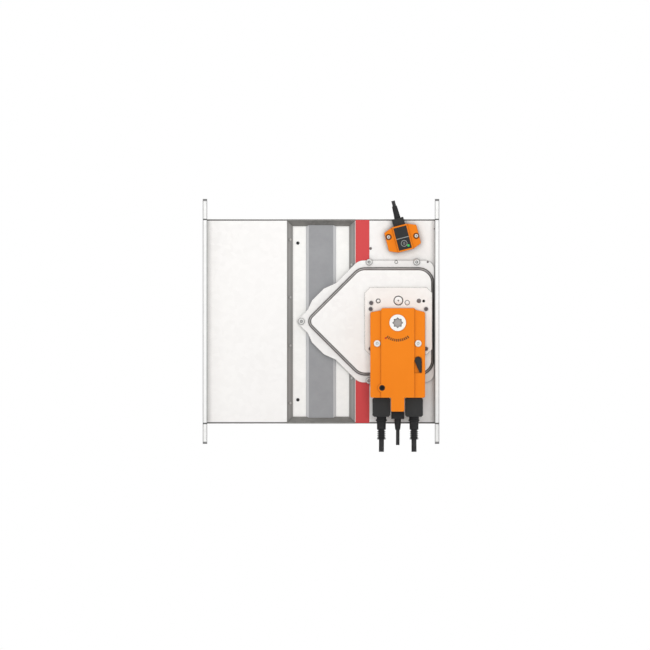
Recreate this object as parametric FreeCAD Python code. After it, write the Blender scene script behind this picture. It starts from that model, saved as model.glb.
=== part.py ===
# Rectangular fire damper with a spring-return actuator and a thermal probe.
# Millimetres. The origin is on the blade's axis at the middle of the casing.
# +X runs along the duct towards the drive side's actuator, +Z is up, and the drive side faces -Y.

import FreeCAD, Part
import os
from math import atan2, cos, degrees, hypot, pi, radians, sin, sqrt, tan
from FreeCAD import Vector

os.makedirs("parts", exist_ok=True)

# Casing
casing_length = 350.0
duct_width = 400.0
duct_height = 300.0
sheet = 1.25
window_length = 101.2
recess_depth = 9.3
web_thickness = 2.6
flange_height = 30.0
flange_depth = 6.5
flange_sheet = 1.2
flange_hole = 10.0
corner_arm = 28.0
fit_gap = 0.2

# Tunnel of mineral board round the blade
tunnel_length = 160.0
board_thickness = 15.0
band_width = 44.6
band_height = 2.5
band_bevel = 4.3
strip_width = 28.0
strip_thickness = 1.5
stop_sheet = 2.0
stop_height = 15.0
stop_foot = 24.0
stop_gap = 0.3

# Blade
blade_thickness = 30.0
blade_clearance = 3.0
blade_corner_room = 1.0
seal_width = 20.0
seal_thickness = 2.0
shaft_diameter = 12.0
shaft_reach = 60.0
shaft_plate_height = 50.0
shaft_plate_thickness = 2.0
bolt_diameter = 6.0
running_gap = 0.06

# Mechanism under the cover
drive_setback = 61.5
drive_x = casing_length / 2 - drive_setback
drive_z = -2.0
gasket_thickness = 1.0
cover_height = 16.0
flange_rise = 90.3
cover_slope = 4.0
cover_fillet = 2.2
crank_radius = 9.0
crank_angle = -30.0
crank_thickness = 3.5
crank_end_radius = 4.2
crank_hub_radius = 8.5
crank_pin_radius = 2.0
rod_thickness = 3.0
rod_width = 6.0
level_gap = 0.5
square_size = 9.0
drive_square_size = 10.0

# Console
console_size = 100.0
console_chamfer = 8.0
console_thickness = 3.0
console_x = drive_x + 1.0
console_z = 0.5
console_stand = 5.0

# Actuator
actuator_width = 81.2
actuator_top = 19.8
actuator_bottom = -112.9
actuator_tongue = -133.5
tongue_width = 20.0
ridge_half = 25.0
rear_shell_depth = 20.0
front_depth = 26.0
shoulder_step = 5.0
shell_wall = 2.5
ridge_fillet = 1.6

# Thermal probe
probe_setback = 54.2
probe_share = 0.5414
probe_x = casing_length / 2 - probe_setback
probe_tilt = 14.5
probe_depth = 22.0

half_width = duct_width / 2 + sheet
half_height = duct_height / 2 + sheet
half_length = casing_length / 2
half_window = window_length / 2
face_y = -half_width
probe_z = flange_rise + probe_share * (half_height - flange_rise)


def box(x0, x1, y0, y1, z0, z1):
    return Part.makeBox(x1 - x0, y1 - y0, z1 - z0, Vector(x0, y0, z0))


def round_bar(x, z, front, back, radius):
    """A cylinder along Y from the front plane to the back plane."""
    return Part.makeCylinder(radius, back - front, Vector(x, front, z), Vector(0, 1, 0))


def square_bar(x, z, front, back, size):
    return box(x - size / 2, x + size / 2, front, back, z - size / 2, z + size / 2)


def outline(corners, y):
    """A closed wire in the plane at y, through (x, z, radius) corners with rounded turns."""
    points = [Vector(x, y, z) for x, z, _ in corners]
    count = len(points)
    starts = []
    ends = []
    middles = []
    for i in range(count):
        here = points[i]
        to_last = points[i - 1] - here
        to_next = points[(i + 1) % count] - here
        to_last.normalize()
        to_next.normalize()
        radius = corners[i][2]
        half_turn = to_last.getAngle(to_next) / 2
        if radius <= 0:
            starts.append(here)
            ends.append(here)
            middles.append(None)
            continue
        tangent = radius / tan(half_turn)
        bisector = to_last + to_next
        bisector.normalize()
        starts.append(here + to_last * tangent)
        ends.append(here + to_next * tangent)
        middles.append(here + bisector * (radius / sin(half_turn) - radius))
    edges = []
    for i in range(count):
        if middles[i] is not None:
            edges.append(Part.Arc(starts[i], middles[i], ends[i]).toShape())
        following = starts[(i + 1) % count]
        if ends[i].distanceToPoint(following) > 1e-6:
            edges.append(Part.LineSegment(ends[i], following).toShape())
    return Part.Wire(edges)


def plate(corners, front, back):
    """A flat piece of the given outline between two planes across Y."""
    return Part.Face(outline(corners, front)).extrude(Vector(0, back - front, 0))


def inset(corners, distance):
    """The same convex outline moved inwards, with its corner radii reduced to match."""
    count = len(corners)
    moved = []
    for i in range(count):
        xa, za, _ = corners[i - 1]
        x, z, radius = corners[i]
        xb, zb, _ = corners[(i + 1) % count]
        ax, az = x - xa, z - za
        bx, bz = xb - x, zb - z
        la, lb = hypot(ax, az), hypot(bx, bz)
        turn = ax * bz - az * bx
        side = 1 if turn > 0 else -1
        nax, naz = -az / la * side, ax / la * side
        nbx, nbz = -bz / lb * side, bx / lb * side
        share = distance / (1 + nax * nbx + naz * nbz)
        moved.append((x + (nax + nbx) * share, z + (naz + nbz) * share, max(radius - distance, 0.3)))
    return moved


def tapered(corners, slope, front, back):
    """A block whose outline shrinks by the slope towards the front."""
    narrow = outline(inset(corners, slope), front)
    wide = outline(corners, back)
    return Part.makeLoft([narrow, wide], True, True)


def duct_ring(profile):
    """A mitred ring round the duct from (x, inset) points, the inset counted from the casing's outside."""
    loops = []
    for x, depth in profile:
        y = half_width - depth
        z = half_height - depth
        loops.append([Vector(x, -y, -z), Vector(x, y, -z), Vector(x, y, z), Vector(x, -y, z)])
    faces = []
    for i, loop in enumerate(loops):
        following = loops[(i + 1) % len(loops)]
        for k in range(4):
            m = (k + 1) % 4
            faces.append(Part.Face(Part.makePolygon([loop[k], loop[m], following[m], following[k], loop[k]])))
    shell = Part.makeShell(faces)
    shell.sewShape()
    solid = Part.makeSolid(shell)
    if solid.Volume < 0:
        solid.reverse()
    return solid


def mitre_wedges(reach, x):
    """Four blocks that part a ring round the duct along its mitred corners: left, top, right, bottom."""
    y, z = half_width + 1, half_height + 1
    outer = [(-y, -z), (-y, z), (y, z), (y, -z)]
    low_y, low_z = y - reach, z - reach
    inner = [(-low_y, -low_z), (-low_y, low_z), (low_y, low_z), (low_y, -low_z)]
    wedges = []
    for i in range(4):
        m = (i + 1) % 4
        ring = [outer[i], outer[m], inner[m], inner[i], outer[i]]
        wire = Part.makePolygon([Vector(-x, a, b) for a, b in ring])
        wedges.append(Part.Face(wire).extrude(Vector(2 * x, 0, 0)))
    return wedges


def mirrored_x(shape):
    return shape.mirror(Vector(0, 0, 0), Vector(1, 0, 0))


def mirrored_y(shape):
    return shape.mirror(Vector(0, 0, 0), Vector(0, 1, 0))


def mirrored_z(shape):
    return shape.mirror(Vector(0, 0, 0), Vector(0, 0, 1))


def save(name, *shapes):
    solids = []
    for shape in shapes:
        solids.extend(shape.Solids)
    for solid in solids:
        if not solid.isValid() or solid.Volume <= 0:
            print("check", name, solid.isValid(), solid.Volume)
    whole = solids[0] if len(solids) == 1 else Part.makeCompound(solids)
    whole.exportStep("parts/" + name + ".step")


# Sleeves: each of four folded sheets seamed along the corners, their inner ends turned in at 45 degrees
fold = sheet * tan(radians(22.5))
lip_end = half_window - recess_depth
lip_back = recess_depth - sheet
sleeve = duct_ring([
    (half_length, 0),
    (half_window, 0),
    (lip_end, recess_depth),
    (half_window + fold - lip_back, recess_depth),
    (half_window + fold, sheet),
    (half_length, sheet),
])
sleeve_panels = [sleeve.common(wedge) for wedge in mitre_wedges(recess_depth + web_thickness, half_length + 1)]

# Corner webs: doubled sheet that joins the sleeves across the wall zone, one at each corner
rim = web_thickness / sqrt(2)
web_profile = [
    (0, 0),
    (rim, 0),
    (recess_depth + rim / 2, recess_depth - rim / 2),
    (recess_depth - rim / 2, recess_depth + rim / 2),
    (0, rim),
]
web_points = [Vector(-half_window, -half_width + a, half_height - b) for a, b in web_profile]
web = Part.Face(Part.makePolygon(web_points + web_points[:1])).extrude(Vector(window_length, 0, 0))
lip_core = Part.makeLoft([
    Part.makePolygon([Vector(x, y * (half_width - d), z * (half_height - d))
                      for y, z in ((-1, -1), (1, -1), (1, 1), (-1, 1), (-1, -1))])
    for x, d in ((half_window, 0), (lip_end - 2, recess_depth + 2))
], True, True)
web = web.cut(lip_core).cut(mirrored_x(lip_core))
webs = [web, mirrored_y(web), mirrored_z(web), mirrored_z(mirrored_y(web))]
save("corner_webs", *webs)

# Flange frames: four hollow rails on each end, plugged onto stamped corner pieces
rail_front = half_length
rail_back = half_length - flange_depth


def flange_rails():
    t = flange_sheet
    rails = []
    for across, along in ((half_width, half_height), (half_height, half_width)):
        outer = box(rail_back, rail_front, across, across + flange_height, -along, along)
        hollow = box(rail_back + t, rail_front - t, across + t, across + flange_height - t, -along, along)
        rail = outer.cut(hollow)
        rails.append(rail)
    side, top = rails
    top.rotate(Vector(0, 0, 0), Vector(1, 0, 0), 90)
    return [side, mirrored_y(side), top, mirrored_z(top)]


def flange_corner():
    """One stamped corner with its bolt hole and an arm into each rail."""
    t = flange_sheet + fit_gap
    y, z = half_width, half_height
    h = flange_height
    body = box(rail_back, rail_front, y, y + h, z, z + h)
    arm_low = h - 2 * t
    down = box(rail_back + t, rail_front - t, y + t, y + t + arm_low, z - corner_arm, z)
    inward = box(rail_back + t, rail_front - t, y - corner_arm, y, z + t, z + t + arm_low)
    middle = Vector(rail_back, y + h / 2, z + h / 2)
    hole = Part.makeCylinder(flange_hole / 2, flange_depth, middle, Vector(1, 0, 0))
    return body.fuse(down).fuse(inward).removeSplitter().cut(hole)


rails = flange_rails()
save("flange_rails", *rails, *[mirrored_x(rail) for rail in rails])
corner = flange_corner()
corners_right = [corner, mirrored_y(corner), mirrored_z(corner), mirrored_z(mirrored_y(corner))]
save("flange_corners", *corners_right, *[mirrored_x(piece) for piece in corners_right])

# Tunnel boards: four mitred boards with a milled groove that the folded lips lie in
floor_inset = recess_depth
throat_inset = recess_depth + board_thickness
half_tunnel = tunnel_length / 2
groove_edge = half_window + fold
groove_floor = half_window + fold - lip_back
tunnel = duct_ring([
    (-half_tunnel, sheet),
    (-groove_edge, sheet),
    (-groove_floor, floor_inset),
    (groove_floor, floor_inset),
    (groove_edge, sheet),
    (half_tunnel, sheet),
    (half_tunnel, throat_inset),
    (-half_tunnel, throat_inset),
])
wedges = mitre_wedges(throat_inset + 10, half_tunnel + 1)
throat_width = half_width - throat_inset
throat_height = half_height - throat_inset

# Shaft bushes: flanged steel bushes in the two side boards, the far one closed
floor_y = half_width - floor_inset
bush_radius = shaft_diameter / 2 + 2.5
bush_flange_radius = bush_radius + 3.5
bush_flange = 2.0
band_y = floor_y + band_height
shaft_radius = shaft_diameter / 2
bore_radius = shaft_radius + running_gap
bush = round_bar(0, 0, -band_y, -throat_width, bush_radius)
bush = bush.fuse(round_bar(0, 0, -band_y - bush_flange, -band_y, bush_flange_radius))
shaft_bush = bush.cut(round_bar(0, 0, -band_y - bush_flange, -throat_width, bore_radius))
stub_end = band_y - 3.0
axle_bush = mirrored_y(bush).cut(round_bar(0, 0, throat_width, stub_end + 1.0, bore_radius))
save("shaft_bush", shaft_bush)
save("axle_bush", axle_bush)
bush_hole = round_bar(0, 0, -band_y, band_y, bush_radius)

boards = [tunnel.common(wedge).cut(bush_hole) for wedge in wedges]

# Grey bands: bevelled strips of intumescent board round the middle of the recess
band_profile = [
    (-band_width / 2, floor_inset),
    (-band_width / 2 + band_bevel, floor_inset - band_height),
    (band_width / 2 - band_bevel, floor_inset - band_height),
    (band_width / 2, floor_inset),
]
band_ring = duct_ring(band_profile)
bands = [band_ring.common(wedge).cut(bush_hole).cut(Part.makeCompound(webs)) for wedge in wedges]
save("centre_bands", *bands)

# Intumescent strips on the throat, under the blade's edge
strip_ring = duct_ring([
    (-strip_width / 2, throat_inset),
    (strip_width / 2, throat_inset),
    (strip_width / 2, throat_inset + strip_thickness),
    (-strip_width / 2, throat_inset + strip_thickness),
])
strip_hole = round_bar(0, 0, -half_width, half_width, bush_radius + 2)
save("intumescent_strips", *[strip_ring.common(wedge).cut(strip_hole) for wedge in wedges])

# Blade stops: two angles that the closed blade rests against, one each side of its axis
stop_face = blade_thickness / 2 + stop_gap
stop_half = throat_width - blade_clearance
stop_profile = [
    (stop_face, 0),
    (stop_face + stop_foot, 0),
    (stop_face + stop_foot, stop_sheet),
    (stop_face + stop_sheet, stop_sheet),
    (stop_face + stop_sheet, stop_height),
    (stop_face, stop_height),
]
stop_points = [Vector(x, -stop_half, -throat_height + up) for x, up in stop_profile]
low_stop = Part.Face(Part.makePolygon(stop_points + stop_points[:1])).extrude(Vector(0, 2 * stop_half, 0))
high_stop = mirrored_x(mirrored_z(low_stop))
save("blade_stops", low_stop, high_stop)

# Board screws: black heads on the recess floor hold the tunnel boards near the left sleeve
screw_head_radius = 2.4
board_screw_inset = 35.25
board_screw_side = 16.3
board_screw_x = -half_window + board_screw_side
board_screw_z = half_height - board_screw_inset
board_screw_radius = 1.6
board_screw_length = 12.0
board_head_height = 0.5


def board_screw(x, z):
    shank = round_bar(x, z, -floor_y, -floor_y + board_screw_length, board_screw_radius)
    return shank.fuse(round_bar(x, z, -floor_y - board_head_height, -floor_y, screw_head_radius))


board_screws = [board_screw(board_screw_x, board_screw_z), board_screw(board_screw_x, -board_screw_z)]
board_screws += [mirrored_y(screw) for screw in board_screws]
save("board_screws", *board_screws)

# Rivets on the folded lips
rivet_radius = 2.2
rivet_height = 1.2
rivet_depth = 4.6
rivet_round = 0.5
end_rivet_inset = 30.25
right_rivet_inset = 67.25
end_rivet_z = half_height - end_rivet_inset
inner_rivet_z = 35.7
right_rivet_z = half_height - right_rivet_inset
rivet_heights = (end_rivet_z, inner_rivet_z, -inner_rivet_z, -end_rivet_z)


def lip_rivet(z):
    """A domed rivet standing square on the left lip of the drive face."""
    out = Vector(1, -1, 0)
    out.normalize()
    seat = Vector(-half_window + rivet_depth, face_y + rivet_depth, z)
    head = Part.makeCylinder(rivet_radius, rivet_height, seat, out)
    head = head.makeFillet(rivet_round, [edge for edge in head.Edges
                                     if edge.BoundBox.Center.distanceToPoint(seat) > rivet_height * 0.8])
    return head


left_rivets = [lip_rivet(z) for z in rivet_heights]
right_rivets = [mirrored_x(lip_rivet(z)) for z in (right_rivet_z, -right_rivet_z)]
near_rivets = left_rivets + right_rivets
save("lip_rivets", *near_rivets, *[mirrored_y(rivet) for rivet in near_rivets])

# Blade: insulating board with a seal round its edge
blade_half_width = throat_width - blade_clearance
blade_half_height = throat_height - blade_clearance - blade_corner_room
half_blade = blade_thickness / 2
board_half_width = blade_half_width - seal_thickness
board_half_height = blade_half_height - seal_thickness
shaft_slot = shaft_diameter
blade = box(-half_blade, half_blade, -board_half_width, board_half_width, -board_half_height, board_half_height)
near_slot_end = -board_half_width + shaft_reach
blade = blade.cut(square_bar(0, 0, -board_half_width, near_slot_end, shaft_slot))
blade = blade.cut(square_bar(0, 0, -near_slot_end, board_half_width, shaft_slot))
seal = box(-seal_width / 2, seal_width / 2, -blade_half_width, blade_half_width,
           -blade_half_height, blade_half_height)
seal = seal.cut(box(-seal_width / 2, seal_width / 2, -board_half_width, board_half_width,
                    -board_half_height, board_half_height))
seal = seal.cut(round_bar(0, 0, -blade_half_width, blade_half_width, shaft_radius))
save("blade_seal", seal)

# Shaft plates and bolts: steel plates on both faces clamp each shaft in its slot
bolt_rows = (16.0, 44.0)
bolt_z = 17.0
head_height = 3.0
head_width = 10.0


def hexagon(x, y, z, width, height):
    """A hexagon head standing towards +X from the plane at x."""
    radius = width / sqrt(3)
    points = [Vector(x, y + radius * cos(k * pi / 3), z + radius * sin(k * pi / 3)) for k in range(7)]
    return Part.Face(Part.makePolygon(points)).extrude(Vector(height, 0, 0))


plates = []
bolts = []
for side in (-1, 1):
    y_edge = side * board_half_width
    y_inner = side * (board_half_width - shaft_reach)
    low, high = min(y_edge, y_inner), max(y_edge, y_inner)
    pair = [box(half_blade, half_blade + shaft_plate_thickness, low, high,
                -shaft_plate_height / 2, shaft_plate_height / 2)]
    pair.append(mirrored_x(pair[0]))
    for row in bolt_rows:
        y = side * (board_half_width - row)
        for z in (-bolt_z, bolt_z):
            top = half_blade + shaft_plate_thickness
            shank = Part.makeCylinder(bolt_diameter / 2, 2 * top, Vector(-top, y, z), Vector(1, 0, 0))
            bolt = shank.fuse(hexagon(top, y, z, head_width, head_height))
            bolt = bolt.fuse(hexagon(-top - head_height, y, z, head_width, head_height))
            blade = blade.cut(shank)
            pair = [piece.cut(shank) for piece in pair]
            bolts.append(bolt)
    plates.extend(pair)
save("blade_board", blade)
save("shaft_plates", *plates)
save("blade_bolts", *bolts)

# Levels under the cover, counted outwards from the casing's drive face
flange_back = face_y - gasket_thickness
flange_front = flange_back - sheet
cover_front = flange_back - cover_height
cover_inner = cover_front + sheet
blade_crank_back = flange_front
blade_crank_front = blade_crank_back - crank_thickness
rod_back = blade_crank_front - level_gap
rod_front = rod_back - rod_thickness
drive_crank_back = rod_front - level_gap
drive_crank_front = drive_crank_back - crank_thickness
console_back = cover_front - console_stand
console_front = console_back - console_thickness

# Shafts: square in the blade, round in the bushes, with a square end for the crank
drive_shaft = square_bar(0, 0, -board_half_width, near_slot_end, shaft_diameter)
drive_shaft = drive_shaft.fuse(round_bar(0, 0, blade_crank_back, -board_half_width, shaft_radius))
drive_shaft = drive_shaft.fuse(square_bar(0, 0, blade_crank_front, blade_crank_back, square_size)
                               .common(round_bar(0, 0, blade_crank_front, blade_crank_back, shaft_radius)))
save("drive_shaft", drive_shaft.removeSplitter())
axle = square_bar(0, 0, -near_slot_end, board_half_width, shaft_diameter)
axle = axle.fuse(round_bar(0, 0, board_half_width, stub_end, shaft_radius))
save("axle_stub", axle.removeSplitter())

# Cranks and link rod: two equal cranks and a rod make a parallelogram between the axes
pin_dx = crank_radius * sin(radians(crank_angle))
pin_dz = crank_radius * cos(radians(crank_angle))


def crank(x, z, front, back):
    hub = round_bar(x, z, front, back, crank_hub_radius)
    end = round_bar(x + pin_dx, z + pin_dz, front, back, crank_end_radius)
    return hub.fuse(end)


blade_shaft_end = square_bar(0, 0, blade_crank_front, blade_crank_back, square_size)
blade_shaft_end = blade_shaft_end.common(round_bar(0, 0, blade_crank_front, blade_crank_back, shaft_radius))
blade_crank = crank(0, 0, blade_crank_front, blade_crank_back).cut(blade_shaft_end)
pin_x, pin_z = pin_dx, pin_dz
clip_thickness = 0.8
clip_gap = 0.1
blade_pin_front = rod_front - clip_gap - clip_thickness - 0.4
blade_crank = blade_crank.fuse(round_bar(pin_x, pin_z, blade_pin_front, blade_crank_front, crank_pin_radius))
save("blade_crank", blade_crank.removeSplitter())

drive_pin_x = drive_x + pin_dx
drive_pin_z = drive_z + pin_dz
drive_square = square_bar(drive_x, drive_z, drive_crank_front, drive_crank_back, drive_square_size)
drive_crank = crank(drive_x, drive_z, drive_crank_front, drive_crank_back).cut(drive_square)
drive_pin_back = rod_back + clip_gap + clip_thickness + 0.4
drive_crank = drive_crank.fuse(round_bar(drive_pin_x, drive_pin_z, drive_crank_back, drive_pin_back,
                                         crank_pin_radius))
save("drive_crank", drive_crank.removeSplitter())

eye_radius = crank_end_radius
rod_length = hypot(drive_x, drive_z)
rod = box(0, rod_length, rod_front, rod_back, -rod_width / 2, rod_width / 2)
rod.rotate(Vector(0, 0, 0), Vector(0, 1, 0), -degrees(atan2(drive_z, drive_x)))
rod.translate(Vector(pin_x, 0, pin_z))
rod = rod.fuse(round_bar(pin_x, pin_z, rod_front, rod_back, eye_radius))
rod = rod.fuse(round_bar(drive_pin_x, drive_pin_z, rod_front, rod_back, eye_radius))
pin_hole = crank_pin_radius + running_gap
rod = rod.cut(round_bar(pin_x, pin_z, rod_front, rod_back, pin_hole))
rod = rod.cut(round_bar(drive_pin_x, drive_pin_z, rod_front, rod_back, pin_hole))
save("link_rod", rod.removeSplitter())


def clip(x, z, front):
    washer = round_bar(x, z, front, front + clip_thickness, crank_pin_radius + 1.6)
    return washer.cut(round_bar(x, z, front, front + clip_thickness, pin_hole))


save("link_clips",
     clip(pin_x, pin_z, rod_front - clip_gap - clip_thickness),
     clip(drive_pin_x, drive_pin_z, rod_back + clip_gap))

# Cover: a pressed tray with a flat flange, over the cranks and the rod
flange_corner_x = 55.4
cover_edge_gap = 1.0
cover_right = half_length - flange_depth - cover_edge_gap
flange_outline = [
    (-37.1, 0.0, 6.0),
    (-19.5, 17.6, 2.0),
    (-13.5, 31.1, 5.0),
    (4.3, 48.8, 5.0),
    (21.6, 56.5, 4.0),
    (flange_corner_x, flange_rise, 19.0),
    (cover_right, flange_rise, 14.0),
]
flange_outline += [(x, -z, r) for x, z, r in reversed(flange_outline[1:])]
tray_tip = -24.3
tray_top = 80.1
tray_right = cover_right
tray_outline = [
    (tray_tip, 0.0, 12.9),
    (tray_top + tray_tip, tray_top, 22.5),
    (tray_right, tray_top, 23.0),
    (tray_right, -tray_top, 23.0),
    (tray_top + tray_tip, -tray_top, 22.5),
]
tray_wall = sheet * hypot(cover_height, cover_slope) / cover_height
cavity_slope = cover_slope * (cover_height - sheet) / cover_height
tray = tapered(tray_outline, cover_slope, cover_front, flange_back)
cavity = tapered(inset(tray_outline, tray_wall), cavity_slope, cover_inner, flange_back)
cover = plate(flange_outline, flange_front, flange_back).fuse(tray)
cover = cover.cut(plate(tray_outline, flange_front, flange_back).cut(tray))
top_edges = [edge for edge in cover.Edges
             if edge.BoundBox.YLength < 1e-4 and abs(edge.BoundBox.YMin - cover_front) < 1e-4]
cover = cover.makeFillet(cover_fillet, top_edges)
cover = cover.cut(cavity)

# Cover screws: pan heads on the flange, and one on a stand-off at the tip over the recess
screw_in = 15.8
screw_out = 28.1
cover_screw_x = (flange_corner_x + screw_in, drive_x + screw_out)
cover_screw_z = flange_rise - 2.5
tip_x = -29.0
thread_radius = 2.0
pan_radius = 4.6
pan_height = 2.6
screw_length = 12.0
cover_hole = (drive_x - 2.2, cover_screw_z, 2.4)
standoff_radius = 4.0


def pan_screw(x, z, seat, length, radius=pan_radius, height=pan_height):
    """A domed pan-head screw whose head stands in front of its seat."""
    head = round_bar(x, z, seat - height, seat, radius)
    rim_edges = [edge for edge in head.Edges if abs(edge.BoundBox.YMax - (seat - height)) < 1e-4]
    head = head.makeFillet(height * 0.45, rim_edges)
    slot = round_bar(x, z, seat - height, seat - height * 0.4, radius * 0.42)
    return head.cut(slot).fuse(round_bar(x, z, seat, seat + length, thread_radius))


cover_places = [(x, z) for x in cover_screw_x for z in (cover_screw_z, -cover_screw_z)] + [(tip_x, 0.0)]
cover_screws = [pan_screw(x, z, flange_front, screw_length) for x, z in cover_places]
save("cover_screws", *cover_screws)
standoff = Part.Face(Part.makePolygon([
    Vector(tip_x + standoff_radius * cos(k * pi / 3), -floor_y, standoff_radius * sin(k * pi / 3))
    for k in range(7)
])).extrude(Vector(0, flange_back + floor_y, 0))
standoff = standoff.cut(cover_screws[-1])
save("tip_standoff", standoff)

# Console: a chamfered plate on four spacers that carries the actuator
spacer_dx = 41.0
spacer_z = (18.4, -40.5)
spacer_radius = 4.0
half_console = console_size / 2
cut = half_console - console_chamfer
console_outline = [(console_x + a, console_z + b, 1.5) for a, b in (
    (-half_console, cut), (-cut, half_console), (cut, half_console), (half_console, cut),
    (half_console, -cut), (cut, -half_console), (-cut, -half_console), (-half_console, -cut))]
spacer_places = [(console_x + side * spacer_dx, z) for side in (-1, 1) for z in spacer_z]
console_holes = [(drive_x + dx, z, radius) for dx, z, radius in (
    (-28.8, 30.3, 3.3), (1.0, 30.8, 7.0), (14.1, 27.7, 3.5), (31.4, 30.3, 3.0), (38.5, 30.2, 1.85))]
earth_screw_dx = 39.2
earth_screw = (drive_x - earth_screw_dx, 27.4)
console_head_radius = 3.0
console_head_height = 1.8
console_screw_grip = 5.0
console_screws = [pan_screw(x, z, console_front, face_y - console_front + console_screw_grip,
                            console_head_radius, console_head_height) for x, z in spacer_places]
console_screws.append(pan_screw(*earth_screw, console_front, console_thickness,
                                console_head_radius, console_head_height))
save("console_screws", *console_screws)
spacers = [round_bar(x, z, console_back, face_y, spacer_radius)
           .cut(round_bar(x, z, console_back, face_y, thread_radius)) for x, z in spacer_places]
save("console_spacers", *spacers)

# Drive bush: carries the actuator's square axle in the console and the cover
journal_radius = 7.2
drive_bush_radius = 10.0
drive_bush_flange = 13.5
drive_bush_rim = 2.0
bush_bore = round_bar(drive_x, drive_z, console_front, cover_inner, journal_radius + running_gap)
drive_bush = round_bar(drive_x, drive_z, console_front, cover_inner, drive_bush_radius)
drive_bush = drive_bush.fuse(round_bar(drive_x, drive_z, console_back, console_back + drive_bush_rim,
                                      drive_bush_flange))
save("drive_bush", drive_bush.cut(bush_bore))
bush_seat = round_bar(drive_x, drive_z, console_front, cover_inner, drive_bush_radius)

# Actuator housing
actuator_back = console_front
actuator_split = actuator_back - rear_shell_depth
actuator_front = actuator_split - front_depth
shoulder_front = actuator_front + shoulder_step
half_actuator = actuator_width / 2
half_tongue = tongue_width / 2
housing_outline = [(drive_x + a, b, r) for a, b, r in (
    (-half_actuator, 13.6, 3.0), (-ridge_half, 16.4, 0.8), (-ridge_half + 1.8, actuator_top, 1.2),
    (ridge_half - 0.6, actuator_top, 1.2), (ridge_half + 1.8, 17.2, 0.8), (half_actuator, 13.8, 3.0),
    (half_actuator, actuator_bottom, 2.5), (half_tongue, actuator_bottom, 1.5),
    (half_tongue, actuator_tongue, 2.5), (-half_tongue, actuator_tongue, 2.5),
    (-half_tongue, actuator_bottom, 1.5), (-half_actuator, actuator_bottom, 2.5))]
hollow_left = drive_x - half_actuator + shell_wall
hollow_right = drive_x + half_actuator - shell_wall
hollow_top = 11.0
hollow_bottom = actuator_bottom + shell_wall
column_dx = 30.3
column_z = -32.7
actuator_head_radius = 5.0
actuator_head_height = 1.6
socket_dx = 23.1
socket_x = drive_x - socket_dx
socket_z = -98.4
socket_radius = 4.2
ring_radius = 12.25
ring_hole = ring_radius + 0.08
lever_dx = 30.2
lever_x = drive_x + lever_dx
lever_z = -57.4
lever_head = 5.0
lever_pin = 2.0
hub_clear = 16.0
head_room = console_head_height + 0.3
head_notch = console_head_radius + 0.4
socket_wall = 2.2
pocket_length = 18.9
pocket_gap = 0.8
pocket_wall = 2.5
column_radius = 4.6
column_places = [(drive_x + side * column_dx, column_z) for side in (-1, 1)]

rear_shell = plate(housing_outline, actuator_split, actuator_back)
rear_shell = rear_shell.cut(box(hollow_left, hollow_right, actuator_split, actuator_back - shell_wall,
                                hollow_bottom, hollow_top))
front_cover = plate(housing_outline, shoulder_front, actuator_split)
ridge = plate(housing_outline, actuator_front, shoulder_front).common(
    box(drive_x - ridge_half, drive_x + ridge_half, actuator_front, shoulder_front, actuator_tongue - 1,
        actuator_top + 1))
front_cover = front_cover.fuse(ridge).removeSplitter()
ridge_edges = [edge for edge in front_cover.Edges
               if edge.BoundBox.YLength < 1e-4 and abs(edge.BoundBox.YMin - actuator_front) < 1e-4
               and edge.BoundBox.ZLength > actuator_width / 2]
front_cover = front_cover.makeFillet(ridge_fillet, ridge_edges)
front_cover = front_cover.cut(box(hollow_left, hollow_right, shoulder_front + shell_wall, actuator_split,
                                  hollow_bottom, hollow_top))
front_cover = front_cover.fuse(round_bar(socket_x, socket_z, actuator_front, shoulder_front + 1,
                                         socket_radius + socket_wall))
pocket_depth = 4.0
pocket_radius = lever_head + pocket_gap
pocket_back = shoulder_front + pocket_depth + pocket_wall
pocket = box(lever_x - pocket_radius, lever_x + pocket_radius, shoulder_front, shoulder_front + pocket_depth,
             lever_z - pocket_length, lever_z)
pocket = pocket.fuse(round_bar(lever_x, lever_z, shoulder_front, shoulder_front + pocket_depth, pocket_radius))
floor_half = pocket_radius + pocket_wall
pocket_floor = box(lever_x - floor_half, lever_x + floor_half, shoulder_front + 1, pocket_back,
                   lever_z - pocket_length - pocket_wall, lever_z + floor_half)
front_cover = front_cover.fuse(pocket_floor)
ridge_bite = box(lever_x - pocket_radius, drive_x + ridge_half, actuator_front, shoulder_front,
                 lever_z - pocket_length, lever_z)
front_cover = front_cover.cut(pocket).cut(ridge_bite)
lever_bore = round_bar(lever_x, lever_z, shoulder_front + pocket_depth, pocket_back, lever_pin + running_gap)
front_cover = front_cover.cut(lever_bore)
hub_way = round_bar(drive_x, drive_z, shoulder_front + shell_wall, actuator_back - shell_wall, hub_clear)
rear_shell = rear_shell.cut(hub_way)
front_cover = front_cover.cut(hub_way)
for x, z in spacer_places:
    rear_shell = rear_shell.cut(round_bar(x, z, console_front - head_room, console_front, head_notch))
for x, z in column_places:
    rear_shell = rear_shell.fuse(round_bar(x, z, actuator_split, actuator_back, column_radius))
    front_cover = front_cover.fuse(round_bar(x, z, shoulder_front, actuator_split, column_radius))
for x, z in column_places:
    screw_way = round_bar(x, z, shoulder_front, console_back, thread_radius)
    rear_shell = rear_shell.cut(screw_way)
    front_cover = front_cover.cut(screw_way)
spindle_way = round_bar(drive_x, drive_z, actuator_front, actuator_back, ring_hole)
rear_shell = rear_shell.cut(spindle_way)
front_cover = front_cover.cut(spindle_way)
socket_way = round_bar(socket_x, socket_z, actuator_front, actuator_split, socket_radius + running_gap)
front_cover = front_cover.cut(socket_way)
save("actuator_rear_shell", rear_shell.removeSplitter())
save("actuator_front_cover", front_cover.removeSplitter())
actuator_screws = [pan_screw(x, z, shoulder_front, console_back - shoulder_front,
                             actuator_head_radius, actuator_head_height) for x, z in column_places]
save("actuator_screws", *actuator_screws)

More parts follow.
